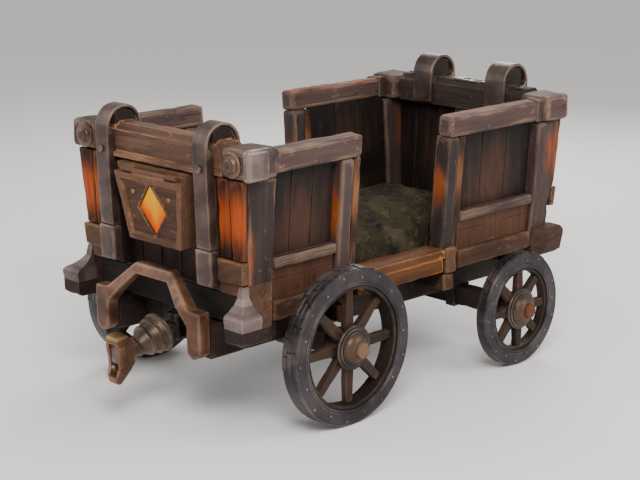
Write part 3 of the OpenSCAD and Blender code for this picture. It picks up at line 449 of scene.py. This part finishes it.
# %% Worn copy of a part
def cleaned(node):
    """A bmesh of a part, with its loose triangles merged into flat faces."""
    bm = bmesh.new()
    bm.from_mesh(nodes[node].data)
    bmesh.ops.remove_doubles(bm, verts=bm.verts, dist=1e-5)
    bmesh.ops.dissolve_limit(bm, angle_limit=math.radians(1), verts=bm.verts, edges=bm.edges)
    return bm

def wear_edges(bm, edge, segments, turn=24):
    """Bevels the edges that turn by some degrees, and marks the new faces as worn."""
    worn = bm.faces.layers.int.new("worn")
    sharp = [e for e in bm.edges
             if len(e.link_faces) == 2 and e.calc_face_angle(0.0) > math.radians(turn)]
    made = bmesh.ops.bevel(bm, geom=sharp, offset=edge, offset_type="OFFSET", affect="EDGES",
                           segments=segments, profile=0.5, material=-1, clamp_overlap=True)
    for face in made["faces"]:
        face[worn] = 1
    return worn

def weathered(node, material, edge=0.007, cell=0.035, dent=0.003, tone=None, segments=2,
              painted_light=None, turn=24, seat=None):
    """Stands a worn copy in place of a part."""
    bm = cleaned(node)
    worn = wear_edges(bm, edge, segments, turn)
    net(bm, cell)
    bm.normal_update()
    seed = sum(ord(letter) for letter in node)
    mark(bm, worn, tone, seed, painted_light)
    wear = bm.verts.layers.float["wear"]
    shift = Vector((seed % 17, seed % 7, seed % 5))
    for vert in bm.verts:
        slow = noise.noise(vert.co * 9.0 + shift)
        quick = noise.noise(vert.co * 31.0 + shift)
        chip = max(0.0, quick - 0.15) if vert[wear] > 0.5 else 0.0
        firm = 0.1 if seat and seat(vert.normal) else 1.0
        vert.co -= vert.normal * dent * firm * (0.5 + 0.5 * slow + 0.25 * quick + 1.8 * chip)
    for face in bm.faces:
        face.smooth = True
    piece = settle(node + "_worn", bm, material, body_of[node])
    smooth = piece.modifiers.new("flat_faces", "WEIGHTED_NORMAL")
    smooth.keep_sharp = True
    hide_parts(node)
    return piece

# %% [markdown]
# ## Light and dark on the timbers
# Painted shade darkens a wall at its frame and painted light brightens the middle of each bay, and
#  a painted glow makes the amber boards brightest above their middle. Posts catch a painted orange
#  glow beside the doorways, and painted highlights run along the tops of the rails and the front
#  beam. Each helper turns a place on the cart into a tone or a painted light value, so the pattern
#  follows the cart and not each board.

# %% Heights and bays of the walls
floor_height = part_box("floor_boards")[0].z
rail_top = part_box("side_top_rails")[1].z
body_low, body_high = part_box("corner_caps")
door_low, door_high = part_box("lamp_door")
mid_rail_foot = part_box("side_mid_rails")[0].z
rail_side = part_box("side_top_rails")[1].x
side_wall = 0.40

door_y = [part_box("door_posts")[end].y for end in (0, 1)]
panel_y = [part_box("side_panels")[end].y for end in (0, 1)]
bays = [(panel_y[end] + door_y[end]) / 2 for end in (0, 1)]
print("bays at", [round(middle, 3) for middle in bays], "walls", round(rail_top - floor_height, 3))

# %% Tones
def rise_of(place):
    """Height on the wall, from 0 at the floor to 1 at the rails."""
    return (place.z - floor_height) / (rail_top - floor_height)

def bay_light_and_shade(place):
    """Tone of a wall board: painted light in the middle of each bay and painted shade towards its frame.
    """
    on_side = abs(place.x) > side_wall
    if place.z < mid_rail_foot + 0.02 and on_side:
        return 0.55
    bay = min(abs(place.y - middle) for middle in bays) if on_side else abs(place.x) - 0.1
    return 1.05 * math.exp(-((rise_of(place) - 0.50) / 0.26) ** 2 - (bay / 0.16) ** 2) - 0.35

def glow(place):
    """Tone of an amber board: a painted glow, brightest above its middle."""
    return 1.45 * math.exp(-((rise_of(place) - 0.61) / 0.15) ** 2) - 0.50

def sill_tone(place):
    """Tone of a threshold: its upper layer is paler."""
    return 0.2 + 0.35 * (place.z > floor_height + 0.06)

def door_frame(place):
    """Tone of the lamp door: a pale frame round a dark plate."""
    rise = (place.z - door_low.z) / (door_high.z - door_low.z)
    half = door_high.x * (0.77 + 0.23 * rise)
    framed = abs(place.x) > half - 0.030 or place.z > door_high.z - 0.062
    return 1.0 if framed else 0.30

# %% Painted glows and highlights
def hump(value, middle, width):
    """A smooth hump of height 1."""
    return math.exp(-((value - middle) / width) ** 2)

def post_painted_glow(place, normal):
    """Painted orange glow on the corner posts, strong at the rear and weaker at the front."""
    at_rear = at_front = 0.0
    if place.y > body_high.y - 0.115:
        at_rear = 0.62 * hump(rise_of(place), 0.66, 0.22)
    if place.y < body_low.y + 0.075:
        at_front = 0.42 * hump(rise_of(place), 0.35, 0.40)
    return max(at_rear, at_front)

def door_painted_glow(place, normal):
    """Painted orange glow on the faces of the door posts that look along the cart."""
    return 0.80 * abs(normal.y) ** 4 * hump(rise_of(place), 0.56, 0.16)

def rail_painted_highlight(place, normal):
    """A painted gold highlight along the tops of the rails, on the inner side."""
    inner = abs(place.x) < rail_side - 0.030
    strength = 0.70 if place.y > 0 else (0.42 if place.x > 0 else 0.0)
    return strength if normal.z > 0.55 and inner else 0.0

def beam_painted_highlight(place, normal):
    """A painted gold highlight along the top of the front beam."""
    return 0.60 if normal.z > 0.5 and body_low.y + 0.06 < place.y < 0 else 0.0

# %% Faces that meet other timbers
def stands(normal):
    """Faces where a post or a board meets the timber above or below it."""
    return abs(normal.z) > 0.7

def lies(normal):
    """Faces where a rail lies on its posts or meets the corner block."""
    return normal.z < -0.7 or abs(normal.y) > 0.7

# %% [markdown]
# ## Timbers
# Heavy timbers are rounded and dented most, thin boards least. Faces that meet another timber
# are kept almost flat, so that no light shows between a rail and its posts. A part that is
# stained in places gets a second finish on those faces.

# %% Plain timbers
timbers = {
    "dark": [("longerons", 0.008), ("cross_members", 0.007), ("headstocks", 0.008),
             ("end_sills", 0.006), ("front_axle_beam", 0.008), ("rear_axle_beam", 0.008),
             ("rear_bolster", 0.003), ("strap_battens", 0.003)],
    "lump": [("post_shoes", 0.012), ("side_sills", 0.012), ("plinths", 0.010)],
    "grey": [("side_mid_rails", 0.012)],
    "cap": [("corner_caps", 0.020)],
    "olive": [("rear_centre_post", 0.008)],
}
for material, parts in timbers.items():
    for node, edge in parts:
        weathered(node, material, edge, 0.035, 0.0035)
weathered("floor_boards", "dark", 0.005, 0.05, 0.001)
print("plain timbers", sum(len(parts) for parts in timbers.values()) + 1)

# %% Posts, rails and boards
weathered("corner_posts", "grey", 0.012, 0.035, 0.004, painted_light=post_painted_glow, seat=stands)
weathered("door_posts", "grey", 0.012, 0.035, 0.004, painted_light=door_painted_glow, seat=stands)
weathered("side_top_rails", "cap", 0.018, 0.03, 0.005, segments=3, painted_light=rail_painted_highlight, seat=lies)
panels = weathered("side_panels", "panel", 0.003, 0.05, 0.002, bay_light_and_shade, seat=stands)
second(panels, "red", lambda centre: centre.z < mid_rail_foot + 0.03)
weathered("end_boards", "panel", 0.005, 0.05, 0.003, bay_light_and_shade)
amber = weathered("amber_boards", "amber", 0.006, 0.04, 0.003, glow)
second(amber, "strip", lambda centre: body_low.y + 0.2 < centre.y < body_high.y - 0.2)
weathered("thresholds", "sill", 0.012, 0.03, 0.005, sill_tone)
print("panel faces", len(panels.data.polygons), "amber faces", len(amber.data.polygons))

# %% End beams
beams = weathered("end_beams", "copper", 0.020, 0.03, 0.004, segments=3, painted_light=beam_painted_highlight)
second(beams, "rear", lambda centre: centre.y > 0)
second(beams, "dark", lambda centre: centre.z > body_high.z + 0.013)
print("beam faces", len(beams.data.polygons))

# %% [markdown]
# ## Irons, lamp and shoes
# Forged parts keep finer edges than timber, and their dents are shallow. The feet of the corner
# posts are steel in front, and the same shapes are wood at the rear.

# %% Irons, lamp and shoes
irons = {
    "iron": [("axle_straps", 0.002), ("draw_socket", 0.003), ("draw_knuckle", 0.003),
             ("king_pin", 0.001), ("pitch_pin", 0.001), ("front_axle", 0.002),
             ("rear_axle", 0.002)],
    "boss": [("bolts", 0.002)],
    "strap": [("hoops", 0.004), ("strap_sockets", 0.009)],
    "rusty": [("bow_bracket", 0.008), ("coupler_head", 0.007)],
    "brass": [("coupler_lip", 0.005), ("lamp_burner", 0.002)],
    "steel": [("coupler_tongue", 0.003)],
    "drawbar": [("draw_sleeve", 0.002)],
    "lamp": [("lamp_case", 0.004)],
}
for material, parts in irons.items():
    for node, edge in parts:
        weathered(node, material, edge, 0.03, 0.0014)

weathered("lamp_door", "lamp", 0.005, 0.018, 0.0014, door_frame)
shoes = weathered("corner_shoes", "steel", 0.013, 0.02, 0.003, segments=3, turn=42)
second(shoes, "lump", lambda centre: centre.y > body_low.y + 0.040)
second(shoes, "dark", lambda centre: centre.z < floor_height + 0.024)
second(shoes, "lump", lambda centre: centre.y > 0)

# %% [markdown]
# ## Wheels
# A wheel is turned: a tyre, stepped hub discs, a domed cap. Each is an outline spun round the
# axle, which keeps every ring true. The tread has plates hammered onto a part of it, each a
# short spin of a small rectangle. Rivets are low domes of a few faces, because there are many.

# %% Wheel helpers
def turned(outline, middle, side, steps=96, closed=False):
    """Spins (radius, x, wear) points round the axle line through middle. side is -1 or 1."""
    bm = bmesh.new()
    wear = bm.verts.layers.float.new("wear")
    verts = []
    for radius, x, worn in outline:
        vert = bm.verts.new((side * x, middle.y, middle.z + radius))
        vert[wear] = worn
        verts.append(vert)
    pairs = list(zip(verts, verts[1:])) + ([(verts[-1], verts[0])] if closed else [])
    edges = [bm.edges.new(pair) for pair in pairs]
    bmesh.ops.spin(bm, geom=verts + edges, cent=(0, middle.y, middle.z), axis=(1, 0, 0),
                   angle=math.tau, steps=steps, use_merge=True, use_duplicate=False)
    bmesh.ops.remove_doubles(bm, verts=bm.verts, dist=1e-5)
    bmesh.ops.recalc_face_normals(bm, faces=bm.faces)
    for face in bm.faces:
        face.smooth = True
    return bm

def dented(bm, depth, scale, seed):
    """Pushes the surface in by smooth noise."""
    bm.normal_update()
    for vert in bm.verts:
        ripple = noise.noise(vert.co * scale + Vector((seed, 0, 0)))
        vert.co -= vert.normal * depth * (0.5 + 0.5 * ripple)

def crisp(piece):
    """Keeps the corners of a smooth piece sharp."""
    piece.data.set_sharp_from_angle(angle=math.radians(32))

def dome(bm, place, outward, radius, height, worn=0.6):
    """A low round rivet head, looking along outward."""
    wear = bm.verts.layers.float.get("wear") or bm.verts.layers.float.new("wear")
    made = bmesh.ops.create_icosphere(bm, subdivisions=2, radius=1.0)
    turn = Vector(outward).to_track_quat("Z", "Y").to_matrix().to_4x4()
    shape = Matrix.Translation(place) @ turn @ Matrix.Diagonal((radius, radius, height, 1.0))
    bmesh.ops.transform(bm, matrix=shape, verts=made["verts"])
    for vert in made["verts"]:
        vert[wear] = worn
        for face in vert.link_faces:
            face.smooth = True

# %% [markdown]
# ## Tyre
# The face of the tyre has a shallow groove between two raised rims, so light breaks into rings on
# it. Its outline runs from the inner corner over the tread, down the face and back.

# %% Outline of a tyre
tyre_face = [(-0.003, -0.001, 0.9), (-0.008, 0.0, 0.6), (-0.010, -0.0015, 0.1),
             (-0.026, -0.0020, 0.0), (-0.044, -0.0015, 0.1), (-0.047, 0.0012, 0.9),
             (-0.051, 0.0012, 0.8), (-0.0525, -0.001, 0.1), (-0.0545, -0.001, 0.1),
             (-0.056, 0.0006, 0.8)]
rim_depth = 0.062

def tyre_outline(radius, inside, outside):
    """Section of a tyre. The points of its face are measured from the tread and the face."""
    plate = radius - rim_depth
    tread = [(plate, inside + 0.004, 0.7), (plate + 0.004, inside, 0.7),
             (radius - 0.005, inside, 0.6), (radius, inside + 0.005, 0.9),
             (radius, (inside + outside) / 2, 0.2), (radius, outside - 0.006, 0.9)]
    face = [(radius + inward, outside + out, worn) for inward, out, worn in tyre_face]
    back = [(plate, outside - 0.0005, 0.8), (plate - 0.001, outside - 0.008, 0.3)]
    return tread + face + back

print("tyre outline", len(tyre_outline(1.0, 0.0, 0.1)), "points")

# %% Tread plates
def tread_plates(middle, side, radius, inside, outside, seed):
    """Three rows of short plates over the upper front of a tread."""
    random = np.random.default_rng(seed)
    bm = bmesh.new()
    wear = bm.verts.layers.float.new("wear")
    row_width = (outside - inside - 0.008) / 3
    for row in range(3):
        angle = -38.0
        while angle < 86:
            sweep = float(random.uniform(9, 19))
            low = inside + 0.004 + row * row_width
            top = radius + float(random.uniform(0.0012, 0.0045))
            x0, x1 = low + 0.0012, low + row_width - 0.0012
            start = math.radians(angle)
            spot = [(x0, radius - 0.004), (x1, radius - 0.004), (x1, top), (x0, top)]
            verts = [bm.verts.new((side * x, middle.y - math.sin(start) * r,
                                   middle.z + math.cos(start) * r)) for x, r in spot]
            face = bm.faces.new(verts)
            bmesh.ops.spin(bm, geom=[face] + face.edges[:] + verts,
                           cent=(0, middle.y, middle.z), axis=(1, 0, 0),
                           angle=math.radians(sweep - 1.3), steps=4, use_duplicate=False)
            angle += sweep
    bmesh.ops.recalc_face_normals(bm, faces=bm.faces)
    sharp = [e for e in bm.edges
             if len(e.link_faces) == 2 and e.calc_face_angle(0.0) > math.radians(40)]
    bmesh.ops.bevel(bm, geom=sharp, offset=0.0012, offset_type="OFFSET", affect="EDGES",
                    segments=1, profile=0.5, material=-1)
    for vert in bm.verts:
        vert[wear] = 0.85
    return bm

# %% [markdown]
# ## Hub
# Stepped discs, a bell and a knob stand on the wheel's face. Their outlines count x from that
# face, so front and rear wheels share them. The knob is worn wood, so it takes the timber marks.

# %% Outlines of a hub
disc_steps = [(0.064, -0.015, 0.2), (0.083, -0.014, 0.5), (0.086, -0.011, 1.0),
              (0.086, -0.004, 1.0), (0.084, -0.0015, 0.9), (0.0775, -0.001, 0.3),
              (0.077, 0.003, 0.9), (0.0745, 0.0045, 0.9), (0.066, 0.0045, 0.2),
              (0.0655, 0.008, 0.8), (0.062, 0.010, 0.7), (0.030, 0.010, 0.2)]
bell_steps = [(0.060, 0.008, 0.3), (0.0605, 0.012, 0.7), (0.056, 0.018, 0.3),
              (0.049, 0.0245, 0.3), (0.041, 0.029, 0.5), (0.038, 0.030, 1.0),
              (0.037, 0.034, 0.9), (0.034, 0.0355, 0.5), (0.020, 0.0355, 0.2)]
knob_steps = [(0.0, 0.034, 0.2), (0.030, 0.034, 0.2), (0.031, 0.037, 0.9),
              (0.0305, 0.045, 0.4), (0.028, 0.0485, 1.0), (0.020, 0.0495, 0.4),
              (0.008, 0.0500, 0.3), (0.0, 0.0500, 0.3)]

def from_face(outside, steps):
    """Moves an outline from the wheel's face to its place along the axle."""
    return [(radius, outside + x, worn) for radius, x, worn in steps]

print("hub outlines", len(disc_steps), len(bell_steps), len(knob_steps), "points")

# %% Rim of a wheel
rivet_count = 18

def dress_rim(wheel, middle, side, radius, inside, outside):
    """Tyre, tread plates, rivets, felloe and spokes."""
    body = wheel + "_wheel"
    bm = turned(tyre_outline(radius, inside, outside), middle, side, 128, closed=True)
    dented(bm, 0.0016, 14.0, radius * 100)
    tyre = settle(wheel + "_tyre_ring", bm, "tyre", body)
    crisp(tyre)
    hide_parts(wheel + "_tyre")
    bm = tread_plates(middle, side, radius, inside, outside, 3 + len(wheel))
    settle(wheel + "_tread_plates", bm, "tyre", body)
    bm = bmesh.new()
    for number in range(rivet_count):
        angle = math.tau * (number + 0.4) / rivet_count
        spot = radius - (0.018 if number % 2 else 0.033)
        place = Vector((side * (outside - 0.002), middle.y + math.sin(angle) * spot,
                        middle.z + math.cos(angle) * spot))
        dome(bm, place, (side, 0, 0), 0.0048, 0.0034, 1.0)
    settle(wheel + "_rivets", bm, "rivet", body)
    weathered(wheel + "_felloe", "felloe", 0.003, 0.05, 0.002)
    weathered(wheel + "_spokes", "spoke", 0.009, 0.03, 0.003)

# %% Hub of a wheel
def dress_hub(wheel, middle, side, outside, knob_finish):
    """Stepped discs, a bell over them and a knob."""
    body = wheel + "_wheel"
    back = min(abs(corner.x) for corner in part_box(wheel + "_hub"))
    discs = [(0.0205, back, 0.2), (0.053, back, 0.4), (0.064, back + 0.010, 0.3)]
    bm = turned(discs + from_face(outside, disc_steps), middle, side, 64, closed=True)
    dented(bm, 0.0014, 26.0, 3)
    hub = settle(wheel + "_hub_discs", bm, "iron", body)
    crisp(hub)
    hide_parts(wheel + "_hub")
    bm = turned(from_face(outside, bell_steps), middle, side, 64, closed=True)
    dented(bm, 0.0012, 30.0, 5)
    crisp(settle(wheel + "_hub_bell", bm, "hub", body))
    bm = turned(from_face(outside, knob_steps), middle, side, 48)
    unworn = bm.faces.layers.int.new("worn")
    mark(bm, unworn, lambda place: 0.7, 5)
    crisp(settle(wheel + "_hub_knob", bm, knob_finish, body))

# %% Build the four wheels
face_proud = 0.00615
for end in ("front", "rear"):
    for side, hand in ((-1, "left"), (1, "right")):
        wheel = f"{end}_{hand}"
        low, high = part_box(wheel + "_felloe")
        middle = (low + high) / 2
        tyre_low, tyre_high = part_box(wheel + "_tyre")
        radius = (tyre_high.y - tyre_low.y) / 2
        inside = min(abs(tyre_low.x), abs(tyre_high.x))
        outside = max(abs(low.x), abs(high.x)) + face_proud
        dress_rim(wheel, middle, side, radius, inside, outside)
        dress_hub(wheel, middle, side, outside, "hub_end" if end == "front" else "sill")
        print(wheel, "radius", round(radius, 3), "tread", round(outside - inside, 3))

# %% [markdown]
# ## Lamp
# The diamond pane glows, yellow at its heart and orange at its foot. The pane keeps its measured
# shape and takes a material that gives out light. Two round rivets hold the plate of the door.

# %% Lamp pane
pane_low, pane_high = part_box("lamp_glass")
glass = bpy.data.materials.new("glowing_glass")
glass.use_nodes = True
tree = glass.node_tree
shader = tree.nodes["Principled BSDF"]
shader.inputs["Roughness"].default_value = 0.55
shader.inputs["Specular IOR Level"].default_value = 0.08
shader.inputs["Emission Strength"].default_value = 0.95
place = tree.nodes.new("ShaderNodeTexCoord").outputs["Object"]
parts = tree.nodes.new("ShaderNodeSeparateXYZ")
feed(tree, parts.inputs[0], place)
swirl = cloud(tree, place, 22.0, detail=3.0)
level = plus(tree, parts.outputs["Z"], swing(tree, swirl, 0.10))
side_way = times(tree, maths(tree, "ABSOLUTE", parts.outputs["X"]), 1.1)
level = minus(tree, level, side_way)
heat = spread(tree, level, pane_low.z + 0.01, (pane_low.z + pane_high.z) / 2 + 0.03)
flame = tint(tree, heat, (0.80, 0.10, 0.0, 1.0), (1.0, 0.46, 0.0, 1.0))
shader.inputs["Base Color"].default_value = (0.06, 0.015, 0.0, 1.0)
feed(tree, shader.inputs["Emission Color"], flame)
nodes["lamp_glass"].data.materials.clear()
nodes["lamp_glass"].data.materials.append(glass)
print("lamp pane", [round(c, 3) for c in pane_high - pane_low])

# %% Rivets of the lamp door
lean = math.radians(7.3)
foot_y = door_high.y - 0.0238

def on_door(across, up, depth):
    """A point on the lamp door: across, up its leaning face, and depth inwards."""
    return Vector((across, foot_y + depth * math.cos(lean) - up * math.sin(lean),
                   door_low.z + depth * math.sin(lean) + up * math.cos(lean)))

bm = bmesh.new()
rivet_spots = ((-0.102, 0.190), (0.104, 0.186))
for across, up in rivet_spots:
    dome(bm, on_door(across, up, 0.010), (0, -1, -0.12), 0.011, 0.008, 0.9)
crisp(settle("lamp_door_rivets", bm, "brass", "lamp_door"))
print("door rivets", len(rivet_spots))

# %% [markdown]
# ## Wrappings
# A light steel corner covers the outer end of one front corner block, and a raised band ends each
# rear rail. Each wrapping is a slice of the timber below it, pushed out by a few millimetres, so
# it always fits. The bands are weathered like the timber they sit on.

# %% Wrappings
def wrapping(name, node, keeps, proud, material, edge):
    """A slice of a part between planes (place, normal), pushed out and bevelled."""
    bm = cleaned(node)
    for place, normal in keeps:
        bmesh.ops.bisect_plane(bm, geom=bm.verts[:] + bm.edges[:] + bm.faces[:],
                               plane_co=place, plane_no=normal, clear_outer=True)
        bmesh.ops.holes_fill(bm, edges=[e for e in bm.edges if e.is_boundary], sides=0)
    bmesh.ops.recalc_face_normals(bm, faces=bm.faces)
    bm.normal_update()
    for vert in bm.verts:
        vert.co += vert.normal * proud * 1.7
    worn = wear_edges(bm, edge, 3)
    net(bm, 0.02)
    bm.normal_update()
    mark(bm, worn)
    dented(bm, 0.0012, 30.0, 4)
    for face in bm.faces:
        face.smooth = True
    piece = settle(name, bm, material, "cart")
    piece.modifiers.new("flat_faces", "WEIGHTED_NORMAL").keep_sharp = True
    return piece

# %% Corner iron
corner_planes = [((body_high.x - 0.036, 0, 0), (-1, 0, 0)), ((0, body_low.y + 0.105, 0), (0, 1, 0))]
corner = wrapping("front_right_corner_iron", "corner_caps", corner_planes, 0.0016, "steel", 0.014)
print("corner iron faces", len(corner.data.polygons))

# %% Rail bands
rail_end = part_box("side_top_rails")[1].y
for side, hand in ((-1, "left"), (1, "right")):
    band_planes = [((0, rail_end - 0.042, 0), (0, -1, 0)), ((0, rail_end - 0.004, 0), (0, 1, 0)),
                   ((side * 0.2, 0, 0), (-side, 0, 0))]
    band = wrapping(f"rear_{hand}_rail_band", "side_top_rails", band_planes, 0.0018, "rear", 0.006)
    print(band.name, "faces", len(band.data.polygons))

# %% [markdown]
# ## Moss
# Damp has let moss grow on the rear beam. Low, uneven cushions, each a squashed ball with a
# noisy skin, lie along its top. They are small and many, so each has few faces.

# %% Moss
moss = iron("moss_cushion", (0.020, 0.017, 0.006), (0.075, 0.062, 0.020), (0.045, 0.028, 0.010), 0.0)
moss_metallic = moss.node_tree.nodes["Principled BSDF"].inputs["Metallic"]
moss_metallic.default_value = 0.0
for link in list(moss_metallic.links):
    moss.node_tree.links.remove(link)
random = np.random.default_rng(11)
cushions = 46
bm = bmesh.new()
bm.verts.layers.float.new("wear")
for number in range(cushions):
    x = float(random.uniform(-0.34, 0.34))
    if number % 3 == 0:
        x = float(random.uniform(-0.09, 0.05))
    y = body_high.y - float(random.uniform(0.045, 0.10))
    size = float(random.uniform(0.010, 0.028))
    made = bmesh.ops.create_icosphere(bm, subdivisions=2, radius=1.0)
    squash = Matrix.Diagonal((size, size * 0.8, size * 0.24, 1.0))
    shape = Matrix.Translation((x, y, body_high.z + 0.008)) @ squash
    bmesh.ops.transform(bm, matrix=shape, verts=made["verts"])
    for vert in made["verts"]:
        vert.co += Vector((0, 0, 1)) * 0.002 * noise.noise(vert.co * 60.0)
for face in bm.faces:
    face.smooth = True
settle("rear_beam_moss", bm, moss, "cart")
print("moss cushions", cushions)

# %% [markdown]
# ## Canvas over the load
# A heavy waxed canvas lies over the load and is tucked in along the walls. Cloth simulation gives
# folds that no noise can: the sheet grows by a slack of 13% each way, is held at its rim, and
# buckles as it settles. The rim is pinned, so it stays inside the walls.

# %% The heap under the canvas
heap_low, heap_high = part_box("canvas_load")
bm = bmesh.new()
bm.from_mesh(nodes["canvas_load"].data)
heap = BVHTree.FromBMesh(bm)
bm.free()

def heap_top(x, y):
    """Height of the heap under a point."""
    hit = heap.ray_cast(Vector((x, y, 2.0)), Vector((0, 0, -1)))[0]
    return hit.z if hit else heap_low.z

print("heap", [round(c, 3) for c in heap_high - heap_low])

# %% Net of cloth
rim_gap = 0.006

def canvas_sheet():
    """A net of cloth that follows the heap with small lumps under it."""
    bm = bmesh.new()
    width = heap_high.x - heap_low.x - rim_gap
    length = heap_high.y - heap_low.y - rim_gap
    bmesh.ops.create_grid(bm, x_segments=62, y_segments=124, size=0.5)
    middle = (heap_low + heap_high) / 2
    for vert in bm.verts:
        x, y = middle.x + vert.co.x * width, middle.y + vert.co.y * length
        rim = min(0.5 - abs(vert.co.x), (0.5 - abs(vert.co.y)) * 2)
        broad = 0.024 * noise.noise(Vector((x * 7.0, y * 7.0, 3.0)))
        small = 0.012 * noise.noise(Vector((x * 17, y * 17, 8)))
        lump = broad + small
        lift = min(1.0, rim * 9)
        vert.co = Vector((x, y, heap_top(x, y) + 0.004 + lift * (0.012 + lump)))
    for step in range(3):
        bmesh.ops.smooth_vert(bm, verts=[v for v in bm.verts if not v.is_boundary], factor=0.5,
                              use_axis_x=False, use_axis_y=False, use_axis_z=True)
    return bm

bm = canvas_sheet()
rim = [vert.index for vert in bm.verts if vert.is_boundary]
laid_area = sum(face.calc_area() for face in bm.faces)
mesh = bpy.data.meshes.new("canvas")
bm.to_mesh(mesh)
bm.free()
canvas = bpy.data.objects.new("canvas", mesh)
bpy.context.scene.collection.objects.link(canvas)
print("canvas laid", round(laid_area, 3), "m2")

# %% Let the canvas settle
settling_frames = 26
slack = 0.13
under = bpy.data.objects.new("heap_under_canvas", mesh.copy())
bpy.context.scene.collection.objects.link(under)
for vert in under.data.vertices:
    vert.co.z -= 0.006
under.modifiers.new("bump_into", "COLLISION")
under.collision.thickness_outer = 0.003
pins = canvas.vertex_groups.new(name="rim")
pins.add(rim, 1.0, "REPLACE")
cloth = canvas.modifiers.new("cloth", "CLOTH")
cloth.settings.vertex_group_mass = "rim"
cloth.settings.quality = 5
cloth.settings.mass = 0.5
cloth.settings.tension_stiffness = 25
cloth.settings.compression_stiffness = 25
cloth.settings.shear_stiffness = 15
cloth.settings.bending_stiffness = 0.8
cloth.settings.shrink_min = -slack
cloth.collision_settings.distance_min = 0.003
cloth.collision_settings.use_self_collision = False
for frame_number in range(1, settling_frames + 1):
    bpy.context.scene.frame_set(frame_number)
settled = canvas.evaluated_get(bpy.context.evaluated_depsgraph_get())
settled_mesh = bpy.data.meshes.new_from_object(settled)
canvas.modifiers.clear()
canvas.data = settled_mesh
bpy.data.objects.remove(under)
bpy.context.scene.frame_set(1)
bm = bmesh.new()
bm.from_mesh(canvas.data)
bmesh.ops.recalc_face_normals(bm, faces=bm.faces)
if sum(face.normal.z for face in bm.faces) < 0:
    bmesh.ops.reverse_faces(bm, faces=bm.faces)
for face in bm.faces:
    face.smooth = True
bm.to_mesh(canvas.data)
bm.free()
canvas.data.calc_loop_triangles()

# %% [markdown]
# ## Waxed cloth
# Waxed canvas is dull and olive, with stains, painted shade along its creases and a coarse weave. Two
#  crossed waves make the weave, and noise makes the stains and the creases. All of it reads the place
#  in metres.

# %% Waxed cloth
canvas_cloth = bpy.data.materials.new("waxed_canvas")
canvas_cloth.use_nodes = True
tree = canvas_cloth.node_tree
shader = tree.nodes["Principled BSDF"]
place = tree.nodes.new("ShaderNodeTexCoord").outputs["Object"]
weave_x = tree.nodes.new("ShaderNodeTexWave")
weave_x.inputs["Scale"].default_value = 90.0
feed(tree, weave_x.inputs["Vector"], place)
weave_y = tree.nodes.new("ShaderNodeTexWave")
weave_y.bands_direction = "Y"
weave_y.inputs["Scale"].default_value = 90.0
feed(tree, weave_y.inputs["Vector"], place)
weave = times(tree, weave_x.outputs["Fac"], weave_y.outputs["Fac"])
stain = cloud(tree, place, 6.0, detail=6.0, roughness=0.65)
grime = cloud(tree, place, 24.0, detail=4.0)
damp_olive = (0.010, 0.008, 0.004, 1.0)
dry_olive = (0.050, 0.039, 0.018, 1.0)
dust = (0.075, 0.056, 0.028, 1.0)
crease_shade = (0.006, 0.005, 0.003, 1.0)
color = tint(tree, spread(tree, stain, 0.32, 0.70), damp_olive, dry_olive)
color = tint(tree, spread(tree, grime, 0.55, 0.75), color, dust)
fold = maths(tree, "ABSOLUTE", minus(tree, cloud(tree, place, 4.5, (1.0, 1.7, 1.0), 3.0), 0.5))
fold = spread(tree, fold, 0.0, 0.030, 1.0, 0.0)
# Painted shade darkens the creases.
color = tint(tree, times(tree, fold, 0.6), color, crease_shade)
feed(tree, shader.inputs["Base Color"], color)
feed(tree, shader.inputs["Roughness"], spread(tree, grime, 0.3, 0.7, 0.78, 0.95))
shader.inputs["Specular IOR Level"].default_value = 0.18
bump = tree.nodes.new("ShaderNodeBump")
bump.inputs["Strength"].default_value = 0.6
bump.inputs["Distance"].default_value = 0.006
relief = plus(tree, times(tree, weave, 0.12), times(tree, grime, 0.5))
feed(tree, bump.inputs["Height"], minus(tree, relief, fold))
feed(tree, shader.inputs["Normal"], bump.outputs[0])
canvas.data.materials.clear()
canvas.data.materials.append(canvas_cloth)
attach(canvas, "cart")
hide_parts("canvas_load")
